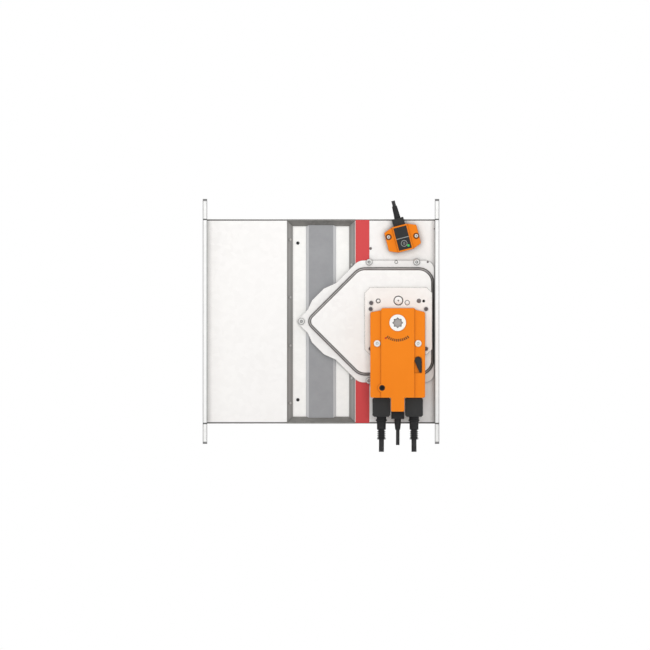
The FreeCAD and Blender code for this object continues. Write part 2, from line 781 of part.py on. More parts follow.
console = plate(console_outline, console_front, console_back).cut(bush_seat)
for x, z, radius in console_holes:
    console = console.cut(round_bar(x, z, console_front, console_back, radius))
for screw in console_screws + actuator_screws:
    console = console.cut(screw)
save("console_plate", console)

# Spindle: the indicator ring, its star socket and the square axle that drives the crank
ring_proud = 1.5
ring_front = actuator_front - ring_proud
insert_radius = 8.2
spindle_back = actuator_back - 0.3
ring = round_bar(drive_x, drive_z, ring_front, spindle_back, ring_radius)
front_rim = [edge for edge in ring.Edges if abs(edge.BoundBox.YMax - ring_front) < 1e-4]
ring = ring.makeFillet(0.6, front_rim)
ring = ring.cut(round_bar(drive_x, drive_z, ring_front, spindle_back, insert_radius))
save("spindle_ring", ring)
insert_front = ring_front + 0.3
star_size = 11.4
star_depth = 2.5
insert = round_bar(drive_x, drive_z, insert_front, spindle_back, insert_radius)
for size, depth in ((drive_square_size, spindle_back - insert_front), (star_size, star_depth)):
    square = square_bar(drive_x, drive_z, insert_front, insert_front + depth, size)
    turned = square.copy()
    turned.rotate(Vector(drive_x, 0, drive_z), Vector(0, 1, 0), 45)
    insert = insert.cut(square).cut(turned)
save("spindle_insert", insert)
axle_front = actuator_front + 3.0
drive_axle = square_bar(drive_x, drive_z, axle_front, drive_crank_back, drive_square_size)
drive_axle = drive_axle.fuse(round_bar(drive_x, drive_z, spindle_back + 0.3, drive_crank_front, journal_radius))
save("drive_axle", drive_axle.removeSplitter())

# Gear train inside the actuator: a sector on the spindle turns the pinion of the spring barrel
gear_module = 1.5
sector_teeth = 40
pinion_teeth = 12
sector_first = -10
sector_last = 100
sector_radius = sector_teeth * gear_module / 2
pinion_radius = pinion_teeth * gear_module / 2
barrel_z = drive_z - sector_radius - pinion_radius
gear_width = 5.0
gear_back = actuator_back - 8.0
barrel_radius = 25.5


def gear_points(x, z, y, teeth, first, last, tooth_at):
    """Points of trapezoid teeth from the first to the last angle, measured from straight down."""
    radius = teeth * gear_module / 2
    root, tip = radius - 1.2 * gear_module, radius + 0.85 * gear_module
    pitch = 360 / teeth
    points = []
    start = int((first - tooth_at) / pitch + 0.999)
    stop = int((last - tooth_at) / pitch)
    for k in range(start, stop + 1):
        middle = tooth_at + k * pitch
        for share, reach in ((-0.34, root), (-0.11, tip), (0.11, tip), (0.34, root)):
            angle = radians(middle + share * pitch)
            points.append(Vector(x + reach * sin(angle), y, z - reach * cos(angle)))
    return points


sector_points = gear_points(drive_x, drive_z, gear_back, sector_teeth, sector_first, sector_last, 0)
hub_point = Vector(drive_x, gear_back, drive_z)
sector_wire = Part.makePolygon([hub_point] + sector_points + [hub_point])
sector = Part.Face(sector_wire).extrude(Vector(0, -gear_width, 0))
sector = sector.fuse(round_bar(drive_x, drive_z, gear_back - gear_width, gear_back, ring_radius + 3.0))
sector = sector.cut(round_bar(drive_x, drive_z, gear_back - gear_width, gear_back, ring_radius))
save("spindle_gear", sector.removeSplitter())

gear_plate_back = actuator_back - shell_wall
gear_plate_thickness = 2.0
gear_plate_front = gear_plate_back - gear_plate_thickness
gear_plate_gap = 0.5
barrel_pin = 3.0
barrel_foot = barrel_pin + 2.5
pinion_side = 1.0
barrel_depth = 14.0
post_proud = 1.0
foot_gap = 0.3
barrel_back = gear_back - gear_width - pinion_side
barrel_front = barrel_back - barrel_depth
pinion_points = gear_points(drive_x, barrel_z, gear_back, pinion_teeth, -180, 180 - 1 / pinion_teeth,
                            180 / pinion_teeth)
pinion = Part.Face(Part.makePolygon(pinion_points + pinion_points[:1]))
pinion = pinion.extrude(Vector(0, barrel_back - gear_back, 0))
barrel = round_bar(drive_x, barrel_z, barrel_front, barrel_back, barrel_radius)
barrel_bore = round_bar(drive_x, barrel_z, barrel_front, gear_back, barrel_pin + running_gap)
save("spring_barrel", pinion.fuse(barrel).cut(barrel_bore).removeSplitter())
barrel_post = round_bar(drive_x, barrel_z, barrel_front - post_proud, gear_plate_front, barrel_pin)
post_foot = round_bar(drive_x, barrel_z, gear_back + foot_gap, gear_plate_front, barrel_foot)
gear_plate = box(hollow_left + gear_plate_gap, hollow_right - gear_plate_gap, gear_plate_front, gear_plate_back,
                 hollow_bottom + gear_plate_gap, hollow_top - gear_plate_gap)
gear_plate = gear_plate.cut(spindle_way).fuse(post_foot).fuse(barrel_post)
for x, z in column_places:
    gear_plate = gear_plate.cut(round_bar(x, z, gear_plate_front, gear_plate_back, column_radius))

# Winding socket: a hexagon socket that a hand crank turns, on a post of the gear plate
socket_foot = 6.0
socket_sunk = 0.8
socket_post = 2.0
socket_bore = 10.0
socket_foot_radius = 4.0
hex_size = 5.0
hex_depth = 9.0
socket_back = gear_plate_front - socket_foot
socket_front = actuator_front + socket_sunk
winding = round_bar(socket_x, socket_z, socket_front, socket_back, socket_radius)
hex_points = [Vector(socket_x + hex_size / sqrt(3) * sin(k * pi / 3), socket_front,
                     socket_z + hex_size / sqrt(3) * cos(k * pi / 3)) for k in range(7)]
hex_socket = Part.Face(Part.makePolygon(hex_points)).extrude(Vector(0, hex_depth, 0))
post_bore = round_bar(socket_x, socket_z, socket_back - socket_bore, socket_back, socket_post + running_gap)
save("winding_socket", winding.cut(hex_socket).cut(post_bore))
post_front = socket_back - socket_bore + post_proud
gear_plate = gear_plate.fuse(round_bar(socket_x, socket_z, post_front, gear_plate_front, socket_post))
gear_plate = gear_plate.fuse(round_bar(socket_x, socket_z, socket_back + foot_gap, gear_plate_front,
                                       socket_foot_radius))
save("gear_plate", gear_plate.removeSplitter())

# Motor and switch board on the gear plate
motor_radius = 11.0
motor_length = 26.0
motor_dx = 18.0
motor_lift = 4.0
motor_foot_half = 6.0
motor_z = hollow_bottom + motor_lift
motor = Part.makeCylinder(motor_radius, motor_length,
                          Vector(drive_x + motor_dx, gear_plate_front - motor_radius, motor_z), Vector(0, 0, 1))
motor = motor.fuse(box(drive_x + motor_dx - motor_foot_half, drive_x + motor_dx + motor_foot_half,
                       gear_plate_front - motor_foot_half, gear_plate_front, motor_z + 2.0,
                       motor_z + motor_length - 4.0))
save("motor", motor.removeSplitter())
board_gap = 4.0
card_thickness = 1.6
card_half = 20.0
card_height = 26.0
post_half = 4.0
switch_width = 6.0
switch_depth = 6.4
switch_height = 10.0
switch_offsets = (-14.0, -4.0)
board_front = shoulder_front + shell_wall + board_gap
board_back = board_front + card_thickness
switch_board = box(drive_x - card_half, drive_x + card_half, board_front, board_back,
                   motor_z, motor_z + card_height)
board_post = box(drive_x - post_half, drive_x + post_half, board_back, gear_plate_front,
                 motor_z + post_half, motor_z + post_half + 6.0)
switch_board = switch_board.fuse(board_post)
switch_board = switch_board.cut(round_bar(socket_x, socket_z, board_front, board_back, socket_radius + 1.5))
switches = [box(drive_x + a, drive_x + a + switch_width, board_back, board_back + switch_depth,
                motor_z + motor_lift + switch_height, motor_z + motor_lift + 2 * switch_height)
            for a in switch_offsets]
save("switch_board", switch_board.removeSplitter(), *switches)

# Lock lever: a teardrop knob in its pocket that holds the wound spring
tip_dx = 3.4
tip_dz = -16.6
tip_radius = 1.8
lever_back = shoulder_front + pocket_depth - 0.2
lever_front = shoulder_front - 1.0
lever_reach = hypot(tip_dx, tip_dz)
spread = (lever_head - tip_radius) / lever_reach
tilt = sqrt(1 - spread * spread)
down_x, down_z = tip_dx / lever_reach, tip_dz / lever_reach
flanks = []
for side in (1, -1):
    across_x = -down_z * side * tilt + down_x * spread
    across_z = down_x * side * tilt + down_z * spread
    pair = [(lever_head * across_x, lever_head * across_z),
            (tip_dx + tip_radius * across_x, tip_dz + tip_radius * across_z)]
    flanks.extend(pair if side > 0 else reversed(pair))
flank_points = [Vector(lever_x + a, lever_front, lever_z + b) for a, b in flanks]
lever = Part.Face(Part.makePolygon(flank_points + flank_points[:1]))
lever = lever.extrude(Vector(0, lever_back - lever_front, 0))
lever = lever.fuse(round_bar(lever_x, lever_z, lever_front, lever_back, lever_head))
lever = lever.fuse(round_bar(lever_x + tip_dx, lever_z + tip_dz, lever_front, lever_back, tip_radius))
lever = lever.removeSplitter()
lever = lever.fuse(round_bar(lever_x, lever_z, lever_back, shoulder_front + 6.4, lever_pin))
save("lock_lever", lever)

# Cable entries: two black plug blocks beside the tongue and a small one under it
block_width = 26.5
block_gap = 0.9
block_bottom = -141.2
block_half_depth = 14.0
block_chamfer = 2.5
block_top_radius = 3.0
block_front = actuator_split - block_half_depth
block_back = actuator_split + block_half_depth
block_y = (block_front + block_back) / 2
plug_blocks = []
block_centres = []
for side in (-1, 1):
    centre = drive_x + side * (half_tongue + block_gap + block_width / 2)
    block_centres.append(centre)
    left, right = centre - block_width / 2, centre + block_width / 2
    corners = [(left, actuator_bottom, block_top_radius), (right, actuator_bottom, block_top_radius),
               (right, block_bottom + block_chamfer, 0), (right - block_chamfer, block_bottom, 0),
               (left + block_chamfer, block_bottom, 0), (left, block_bottom + block_chamfer, 0)]
    plug_blocks.append(plate(corners, block_front, block_back))
save("plug_blocks", *plug_blocks)


def cord_tube(points, radius):
    """A tube along straight runs joined by arcs as large as the runs allow."""
    edges = []
    last = points[0]
    lengths = [(b - a).Length for a, b in zip(points, points[1:])]
    for i in range(1, len(points) - 1):
        back = points[i - 1] - points[i]
        ahead = points[i + 1] - points[i]
        back.normalize()
        ahead.normalize()
        half_turn = (pi - back.getAngle(ahead)) / 2
        tangent = 0.45 * min(lengths[i - 1], lengths[i])
        bend = tangent / tan(half_turn)
        print("bend radius", round(bend, 1))
        start = points[i] + back * tangent
        end = points[i] + ahead * tangent
        middle = back + ahead
        middle.normalize()
        middle = points[i] + middle * (bend / cos(half_turn) - bend)
        edges.append(Part.LineSegment(last, start).toShape())
        edges.append(Part.Arc(start, middle, end).toShape())
        last = end
    edges.append(Part.LineSegment(last, points[-1]).toShape())
    spine = Part.Wire(edges)
    start_way = points[1] - points[0]
    start_way.normalize()
    section = Part.Wire(Part.makeCircle(radius, points[0], start_way))
    tube = spine.makePipeShell([section], True, True)
    expected = pi * radius ** 2 * spine.Length
    print("tube", round(tube.Volume / expected, 4), "length", round(spine.Length, 2))
    return tube


def turned_boot(profile, x, y):
    """A round boot about a vertical line from (radius, z) points."""
    points = [Vector(x + r, y, z) for r, z in profile]
    return Part.Face(Part.makePolygon(points + points[:1])).revolve(Vector(x, y, 0), Vector(0, 0, 1), 360)


# Supply and control leads with their boots
lead_radius = 3.75
lead_end = -193.0
lead_clear = lead_radius + 0.35
boot_top = block_bottom
boot_shoulder = 19.5
boot_profile = [(lead_clear, boot_top), (7.7, boot_top), (7.7, boot_top - 3.8), (6.3, boot_top - 5.0),
                (5.9, boot_top - boot_shoulder)]
for k in range(4):
    fin = boot_top - 20.0 - k * 2.9
    boot_profile += [(5.0, fin), (5.0, fin - 1.2), (5.9, fin - 1.2), (5.9, fin - 2.9)]
boot_length = 33.0
probe_boot_length = 18.5
collar_thickness = 1.4
boot_profile += [(6.2, boot_top - boot_length + collar_thickness), (6.2, boot_top - boot_length),
                 (lead_clear, boot_top - boot_length)]
boots = [turned_boot(boot_profile, x, block_y) for x in block_centres]
save("lead_boots", *boots)
for name, x, lean in (("supply_lead", block_centres[0], 0.25), ("control_lead", block_centres[1], -0.25)):
    drop = lead_end - block_bottom
    route = [Vector(x, block_y, block_bottom), Vector(x + lean, block_y, block_bottom + drop * 0.5),
             Vector(x, block_y, lead_end)]
    save(name, cord_tube(route, lead_radius).cut(Part.makeCompound(plug_blocks)))

# Probe lead at the actuator, with its gland and tapered boot
thin_radius = 2.65
thin_end = -183.0
thin_clear = thin_radius + 0.3
gland_half = 9.6
gland_bottom = -144.4
gland_half_depth = 8.0
gland = box(drive_x - gland_half, drive_x + gland_half, block_y - gland_half_depth, block_y + gland_half_depth,
            gland_bottom, actuator_tongue)
for block in plug_blocks:
    gland = gland.cut(block)
gland_boot = turned_boot([(thin_clear, gland_bottom), (5.0, gland_bottom), (4.6, gland_bottom - 8.0),
                          (3.6, gland_bottom - 16.0), (thin_clear, gland_bottom - 16.0)], drive_x, block_y)
gland_boot = gland.fuse(gland_boot).removeSplitter()
save("thin_boot", gland_boot)
route = [Vector(drive_x, block_y, gland_bottom), Vector(drive_x + 0.2, block_y, (gland_bottom + thin_end) / 2),
         Vector(drive_x, block_y, thin_end)]
save("thin_lead", cord_tube(route, thin_radius).cut(gland_boot))

# Thermal probe, built upright on the casing's face and then turned to its tilt
wing_depth = 14.0
core_half = 11.5
wing_half = 24.6
core_rise = 19.3
wing_rise = 14.0
probe_centre = Vector(probe_x, 0, probe_z)


def seated(shape):
    moved = shape.copy()
    moved.rotate(Vector(0, 0, 0), Vector(0, 1, 0), -probe_tilt)
    moved.translate(probe_centre)
    return moved


probe_outline = [(-wing_half, wing_rise, 2.0), (-core_half, core_rise, 1.0), (core_half, core_rise, 1.0),
                 (wing_half, wing_rise, 2.0), (wing_half, -wing_rise, 2.0), (core_half, -core_rise, 1.0),
                 (-core_half, -core_rise, 1.0), (-wing_half, -wing_rise, 2.0)]
wing_front = face_y - wing_depth
probe_front = face_y - probe_depth
face_half = 9.7
face_rise = 17.0
face_depth = 4.0
button_gap = 0.3
probe_screw_places = [(-19.7, 6.7), (20.4, -1.8)]
probe_screw_radius = 2.8
seat_gap = 1.7
seat_depth = 3.0
light_radius = 1.9

probe = plate(probe_outline, wing_front, face_y)
core = box(-core_half, core_half, probe_front, wing_front, -core_rise, core_rise)
core_rim = [edge for edge in core.Edges if abs(edge.BoundBox.YMax - probe_front) < 1e-4]
probe = probe.fuse(core.makeFillet(1.0, core_rim)).removeSplitter()
probe = probe.cut(box(-face_half, face_half, probe_front, probe_front + face_depth, -face_rise, face_rise))
probe = probe.cut(box(-core_half + 2, core_half - 2, wing_front, face_y - 2.5, -core_rise + 3, core_rise - 3))
stem_radius = 4.0
stem_length = 60.0
stem_hole = round_bar(0, 0, face_y - 2.5, face_y, stem_radius)
probe = probe.cut(stem_hole)
probe_screws = []
for x, z in probe_screw_places:
    probe = probe.cut(round_bar(x, z, wing_front, wing_front + seat_depth, probe_screw_radius + seat_gap))
    screw = pan_screw(x, z, wing_front + seat_depth, wing_depth - seat_depth + 4.0, probe_screw_radius, 2.2)
    probe = probe.cut(screw)
    probe_screws.append(screw)
save("probe_housing", seated(probe))
save("probe_screws", *[seated(screw) for screw in probe_screws])
face = box(-face_half, face_half, probe_front - 0.3, probe_front + face_depth, 0.3, face_rise)
save("probe_face", seated(face))
button_travel = 1.2
button = box(-face_half + button_gap, face_half - button_gap, probe_front - 0.5,
             probe_front + face_depth - button_travel - 0.3, -face_rise + button_gap, -button_gap)
light = round_bar(5.6, -12.6, probe_front - 0.8, probe_front - 0.5, light_radius)
save("test_button", seated(button))
save("status_light", seated(light))
stem = round_bar(0, 0, face_y - 2.5, face_y + stem_length, stem_radius)
stem = stem.cut(round_bar(0, 0, face_y, face_y + stem_length - 1.5, stem_radius - 0.8))
save("probe_stem", seated(stem))

# Probe gland, boot and lead, pointing up along the probe's tilt
probe_gland_half = 8.8
probe_gland_top = 30.5
probe_lead_y = face_y - 9.0
probe_lead_end = 57.0
probe_gland = box(-probe_gland_half, probe_gland_half, face_y - 16.0, face_y - 2.0, core_rise, probe_gland_top)
lead_bore = Part.makeCylinder(thin_clear, probe_gland_top - core_rise, Vector(0, probe_lead_y, core_rise))
probe_gland = probe_gland.cut(lead_bore)
save("probe_gland", seated(probe_gland))
probe_boot_end = probe_gland_top + probe_boot_length
probe_boot = turned_boot([(thin_clear, probe_gland_top), (4.7, probe_gland_top), (3.7, probe_boot_end),
                          (thin_clear, probe_boot_end)], 0, probe_lead_y)
save("probe_boot", seated(probe_boot))
upright = [Vector(0, probe_lead_y, core_rise), Vector(0.2, probe_lead_y, (core_rise + probe_lead_end) / 2),
           Vector(0, probe_lead_y, probe_lead_end)]
save("probe_lead", seated(cord_tube(upright, thin_radius).cut(probe)))

# Red label strip, a film on the casing beside the wall zone
label_start = half_window + 0.5
label_width = 20.4
film = 0.3
label = box(label_start, label_start + label_width, face_y - film, face_y, -half_height + 1, half_height - 1)
for spacer in spacers:
    label = label.cut(spacer)
for screw in cover_screws + console_screws:
    label = label.cut(screw)
save("label_strip", label)

# Gasket under the cover's flange, where it lies on the casing
gasket = plate(flange_outline, flange_back, face_y).cut(plate(inset(tray_outline, 2.0), flange_back, face_y))
gasket = gasket.common(box(half_window + 0.5, half_length, flange_back, face_y, -half_height, half_height))
for screw in cover_screws:
    gasket = gasket.cut(screw)
save("cover_gasket", gasket.cut(label))

# Cover and sleeves are pierced for what passes through them
for x, z in spacer_places:
    cover = cover.cut(round_bar(x, z, cover_front, face_y, spacer_radius))
for screw in cover_screws:
    cover = cover.cut(screw)
cover = cover.cut(bush_seat)
cover = cover.cut(round_bar(cover_hole[0], cover_hole[1], flange_front, flange_back, cover_hole[2]))
save("cover_plate", cover)
fixings = Part.makeCompound(board_screws + cover_screws + console_screws)
save("tunnel_boards", *[board.cut(fixings) for board in boards])
pierced = Part.makeCompound([seated(stem)] + cover_screws + console_screws
                            + [seated(piece) for piece in probe_screws])
save("sleeve_right", *[panel.cut(pierced) for panel in sleeve_panels])
save("sleeve_left", *[mirrored_x(panel) for panel in sleeve_panels])
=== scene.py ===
import bmesh
import bpy
from math import cos, pi, radians, sin
from mathutils import Matrix, Vector


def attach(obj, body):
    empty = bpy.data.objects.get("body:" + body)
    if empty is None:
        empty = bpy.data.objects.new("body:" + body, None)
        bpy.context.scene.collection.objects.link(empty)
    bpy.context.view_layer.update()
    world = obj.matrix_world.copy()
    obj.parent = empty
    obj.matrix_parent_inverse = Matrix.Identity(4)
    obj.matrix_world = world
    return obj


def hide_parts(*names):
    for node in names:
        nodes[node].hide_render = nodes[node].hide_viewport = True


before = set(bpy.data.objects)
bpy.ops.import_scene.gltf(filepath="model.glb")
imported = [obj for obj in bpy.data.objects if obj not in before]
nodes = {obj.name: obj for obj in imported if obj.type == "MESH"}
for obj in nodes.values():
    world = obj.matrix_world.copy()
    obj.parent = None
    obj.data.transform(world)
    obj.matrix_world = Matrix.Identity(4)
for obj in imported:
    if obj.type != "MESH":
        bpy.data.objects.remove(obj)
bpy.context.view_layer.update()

# The studio: an orthographic camera square to the drive side, a white surround and soft lamps.
# The photograph shows 1.48 mm per pixel and its middle lies a little below and right of the blade's axis.
MM_PER_PIXEL = 1.48
IMAGE_WIDTH = 650
CAMERA_PLACE = (0.0059, -2.5, -0.0053)
camera_data = bpy.data.cameras.new("camera")
camera_data.type = "ORTHO"
camera_data.ortho_scale = IMAGE_WIDTH * MM_PER_PIXEL / 1000
camera_data.clip_end = 20
camera = bpy.data.objects.new("camera", camera_data)
camera.location = CAMERA_PLACE
camera.rotation_euler = (radians(90), 0, 0)
bpy.context.scene.collection.objects.link(camera)
bpy.context.scene.camera = camera
bpy.context.scene.view_settings.view_transform = "Standard"


def maths(tree, operation, *values):
    """A math node on sockets and plain numbers; gives its output socket."""
    node = tree.nodes.new("ShaderNodeMath")
    node.operation = operation
    for socket, value in zip(node.inputs, values):
        if isinstance(value, (int, float)):
            socket.default_value = value
        else:
            tree.links.new(value, socket)
    return node.outputs[0]


def ranged(tree, value, low, high, to_low=0.0, to_high=1.0):
    """A Map Range node on a socket; gives its output socket."""
    node = tree.nodes.new("ShaderNodeMapRange")
    node.inputs["From Min"].default_value = low
    node.inputs["From Max"].default_value = high
    node.inputs["To Min"].default_value = to_low
    node.inputs["To Max"].default_value = to_high
    tree.links.new(value, node.inputs["Value"])
    return node.outputs["Result"]


# The surround is full white where it is seen or mirrored, and dimmer as light on the damper.
WORLD_LIGHT = 0.54
world = bpy.data.worlds.new("studio")
bpy.context.scene.world = world
world.use_nodes = True
surround = world.node_tree
ray = surround.nodes.new("ShaderNodeLightPath")
seen = maths(surround, "MAXIMUM", ray.outputs["Is Camera Ray"], ray.outputs["Is Transmission Ray"])
mirrored = maths(surround, "MAXIMUM", seen, ray.outputs["Is Glossy Ray"])
background = surround.nodes["Background"]
background.inputs["Color"].default_value = (1, 1, 1, 1)
surround.links.new(ranged(surround, mirrored, 0.0, 1.0, WORLD_LIGHT, 1.0), background.inputs["Strength"])


def lamp(name, place, size, watts):
    """A round soft lamp that looks at the middle of the damper."""
    data = bpy.data.lights.new(name, "AREA")
    data.shape = "DISK"
    data.size = size
    data.energy = watts
    lit = bpy.data.objects.new(name, data)
    lit.location = place
    lit.rotation_euler = (-Vector(place)).to_track_quat("-Z", "Y").to_euler()
    bpy.context.scene.collection.objects.link(lit)
    return lit


lamp("key_lamp", (-1.6, -2.6, 2.6), 1.6, 16)
lamp("front_lamp", (0.3, -3.4, 0.1), 1.0, 45).visible_glossy = False
lamp("back_lamp", (-0.8, 3.3, 0.9), 1.2, 33).visible_glossy = False
lamp("fill_lamp", (2.4, -1.6, 0.7), 1.4, 4)

FLOOR_Z = -0.1936
FLOOR_RADIUS = 2.5
shape = bmesh.new()
bmesh.ops.create_circle(shape, cap_ends=True, segments=64, radius=FLOOR_RADIUS)
bmesh.ops.translate(shape, verts=shape.verts, vec=(0, 0, FLOOR_Z))
floor_mesh = bpy.data.meshes.new("floor")
shape.to_mesh(floor_mesh)
shape.free()
floor = bpy.data.objects.new("floor", floor_mesh)
bpy.context.scene.collection.objects.link(floor)
floor_paint = bpy.data.materials.new("floor_paint")
floor_paint.use_nodes = True
paint = floor_paint.node_tree.nodes["Principled BSDF"]
paint.inputs["Base Color"].default_value = (0.9, 0.9, 0.9, 1)
paint.inputs["Roughness"].default_value = 0.8
floor_mesh.materials.append(floor_paint)

# Lead boots: black rubber strain reliefs, moulded round each thick lead under its plug block.
# A flared collar leads to a plain sleeve, four thin ribs and an end disc.
ENTRY_Y = -0.24625
SUPPLY_TOP = (0.08935, ENTRY_Y, -0.1412)
CONTROL_TOP = (0.13765, ENTRY_Y, -0.1412)
BOOT_RIBS = 4
RIB_PITCH = 0.0028
FIRST_RIB = -0.0208
FINE_BUMP = 0.0002


def finished(name, shape, material, body):
    """Makes a bmesh a piece of its own, with its material, riding on a body."""
    mesh = bpy.data.meshes.new(name)
    shape.to_mesh(mesh)
    shape.free()
    mesh.materials.append(material)
    piece = bpy.data.objects.new(name, mesh)
    bpy.context.scene.collection.objects.link(piece)
    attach(piece, body)
    return piece


def turned(name, profile, centre, axis, material, body="casing"):
    """A piece turned on a lathe: (radius, height) points of its section, spun about an axis."""
    shape = bmesh.new()
    axis = Vector(axis)
    across = Vector((1, 0, 0))
    corners = [shape.verts.new(Vector(centre) + across * radius + axis * height) for radius, height in profile]
    for first, second in zip(corners, corners[1:]):
        shape.edges.new((first, second))
    bmesh.ops.spin(shape, geom=shape.verts[:] + shape.edges[:], cent=centre, axis=axis, angle=2 * pi,
                   steps=40, use_merge=True)
    bmesh.ops.remove_doubles(shape, verts=shape.verts, dist=0.00001)
    bmesh.ops.recalc_face_normals(shape, faces=shape.faces)
    piece = finished(name, shape, material, body)
    piece.data.polygons.foreach_set("use_smooth", [True] * len(piece.data.polygons))
    soft = piece.modifiers.new("soft_edges", "BEVEL")
    soft.width = 0.00012
    soft.segments = 2
    soft.limit_method = "ANGLE"
    soft.angle_limit = radians(35)
    piece.modifiers.new("flat_faces", "WEIGHTED_NORMAL").keep_sharp = True
    return piece


def pattern_group(name, inputs, outputs):
    """A node group with named sockets: colours for Light, Dark and Color, plain values for the rest."""
    group = bpy.data.node_groups.new(name, "ShaderNodeTree")
    for direction, sockets in (("INPUT", inputs), ("OUTPUT", outputs)):
        for socket in sockets:
            kind = "NodeSocketColor" if socket in ("Light", "Dark", "Color") else "NodeSocketFloat"
            group.interface.new_socket(socket, in_out=direction, socket_type=kind)
    return group, group.nodes.new("NodeGroupInput"), group.nodes.new("NodeGroupOutput")


def texture(tree, kind, coordinates, **values):
    """A texture node read at the given coordinates, with its own numbers."""
    node = tree.nodes.new("ShaderNodeTex" + kind)
    tree.links.new(coordinates, node.inputs["Vector"])
    for socket, value in values.items():
        node.inputs[socket].default_value = value
    return node


def mixed(tree, share, under, over):
    """A colour mix by a share: what lies over is a socket or a plain colour; gives its output socket."""
    blend = tree.nodes.new("ShaderNodeMix")
    blend.data_type = "RGBA"
    tree.links.new(share, blend.inputs["Factor"])
    tree.links.new(under, blend.inputs["A"])
    if isinstance(over, tuple):
        blend.inputs["B"].default_value = (*over, 1)
    else:
        tree.links.new(over, blend.inputs["B"])
    return blend.outputs["Result"]


def moulded_group():
    """Moulded plastic: a fine spark-eroded grain, with a slow drift of tone over the part."""
    group, entry, leave = pattern_group("moulded_grain", ("Light", "Dark", "Grain", "Roughness"),
                                        ("Color", "Roughness", "Height"))
    link = group.links.new
    place = group.nodes.new("ShaderNodeTexCoord").outputs["Object"]
    drift = texture(group, "Noise", place, Scale=24, Detail=3).outputs["Fac"]
    grain = texture(group, "Noise", place, Detail=2)
    link(entry.outputs["Grain"], grain.inputs["Scale"])
    link(mixed(group, drift, entry.outputs["Light"], entry.outputs["Dark"]), leave.inputs["Color"])
    link(maths(group, "MULTIPLY_ADD", drift, 0.14, entry.outputs["Roughness"]), leave.inputs["Roughness"])
    link(grain.outputs["Fac"], leave.inputs["Height"])
    return group


MOULDED = moulded_group()


def patterned(name, group, light, dark, strength, depth, **values):
    """A material whose colour, bump and, where the group has it, roughness come from a node group."""
    material = bpy.data.materials.new(name)
    material.use_nodes = True
    tree = material.node_tree
    shader = tree.nodes["Principled BSDF"]
    pattern = tree.nodes.new("ShaderNodeGroup")
    pattern.node_tree = group
    pattern.inputs["Light"].default_value = (*light, 1)
    pattern.inputs["Dark"].default_value = (*dark, 1)
    for socket, value in values.items():
        pattern.inputs[socket].default_value = value
    tree.links.new(pattern.outputs["Color"], shader.inputs["Base Color"])
    if "Roughness" in pattern.outputs:
        tree.links.new(pattern.outputs["Roughness"], shader.inputs["Roughness"])
    bump = tree.nodes.new("ShaderNodeBump")
    bump.inputs["Strength"].default_value = strength
    bump.inputs["Distance"].default_value = depth
    tree.links.new(pattern.outputs["Height"], bump.inputs["Height"])
    tree.links.new(bump.outputs["Normal"], shader.inputs["Normal"])
    return material, shader


def moulded(name, light, dark, roughness, grain=1400, strength=0.25, specular=0.35):
    """Moulded plastic, rubber or print."""
    material, shader = patterned(name, MOULDED, light, dark, strength, FINE_BUMP, Grain=grain, Roughness=roughness)
    shader.inputs["Specular IOR Level"].default_value = specular
    return material


rubber = moulded("boot_rubber", (0.024, 0.024, 0.025), (0.014, 0.014, 0.015), 0.5, specular=0.25)
boot_section = [(0.0041, 0), (0.0072, 0), (0.0072, -0.0036), (0.0082, -0.0042), (0.0082, -0.0060),
                (0.0067, -0.0072), (0.0065, -0.0188), (0.0045, -0.0194)]
for rib in range(BOOT_RIBS):
    top = FIRST_RIB - rib * RIB_PITCH
    boot_section += [(0.0045, top), (0.0060, top - 0.0002), (0.0060, top - 0.0017), (0.0045, top - 0.0019)]
boot_section += [(0.0045, -0.0316), (0.0065, -0.0318), (0.0065, -0.0332), (0.0041, -0.0336), (0.0041, 0)]
lead_boots = [turned("supply_boot", boot_section, SUPPLY_TOP, (0, 0, 1), rubber),
              turned("control_boot", boot_section, CONTROL_TOP, (0, 0, 1), rubber)]
for boot in lead_boots:
    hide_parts("lead_boots")

# Leads: two thick sheathed cables and two thin ones, cut off short as the photograph shows them.
# Each is a black PVC sheath round stranded copper; it leaves its entry nearly straight and ends in a flat cut.
THICK = 0.0075
THIN = 0.0053
PROBE_ENTRY_Y = -0.21025
SUPPLY = (SUPPLY_TOP, (0.0896, ENTRY_Y, -0.1671), (0.08935, ENTRY_Y, -0.193))
CONTROL = (CONTROL_TOP, (0.1374, ENTRY_Y, -0.1671), (0.13765, ENTRY_Y, -0.193))
PROBE_LINK = ((0.1135, ENTRY_Y, -0.1444), (0.1137, ENTRY_Y, -0.1637), (0.1135, ENTRY_Y, -0.183))
PROBE = ((0.115968, PROBE_ENTRY_Y, 0.141985), (0.111442, PROBE_ENTRY_Y, 0.160285),
         (0.106528, PROBE_ENTRY_Y, 0.178485))
sheath_pvc = moulded("sheath_pvc", (0.028, 0.028, 0.029), (0.016, 0.016, 0.017), 0.38)


def sheath(name, points, diameter, node):
    """A cable along its points, as a curve whose radius at each point is the cable's own."""
    curve = bpy.data.curves.new(name, "CURVE")
    curve.dimensions = "3D"
    curve.bevel_depth = 1.0
    curve.bevel_resolution = 8
    curve.use_fill_caps = True
    spline = curve.splines.new("NURBS")
    spline.points.add(len(points) - 1)
    for point, place in zip(spline.points, points):
        point.co = (*place, 1)
        point.radius = diameter / 2
    spline.order_u = 3
    spline.use_endpoint_u = True
    spline.resolution_u = 12
    piece = bpy.data.objects.new(name, curve)
    bpy.context.scene.collection.objects.link(piece)
    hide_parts(node)
    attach(piece, "casing")
    curve.materials.append(sheath_pvc)


sheath("supply_cable", SUPPLY, THICK, "supply_lead")
sheath("control_cable", CONTROL, THICK, "control_lead")
sheath("thin_cable", PROBE_LINK, THIN, "thin_lead")
sheath("probe_cable", PROBE, THIN, "probe_lead")
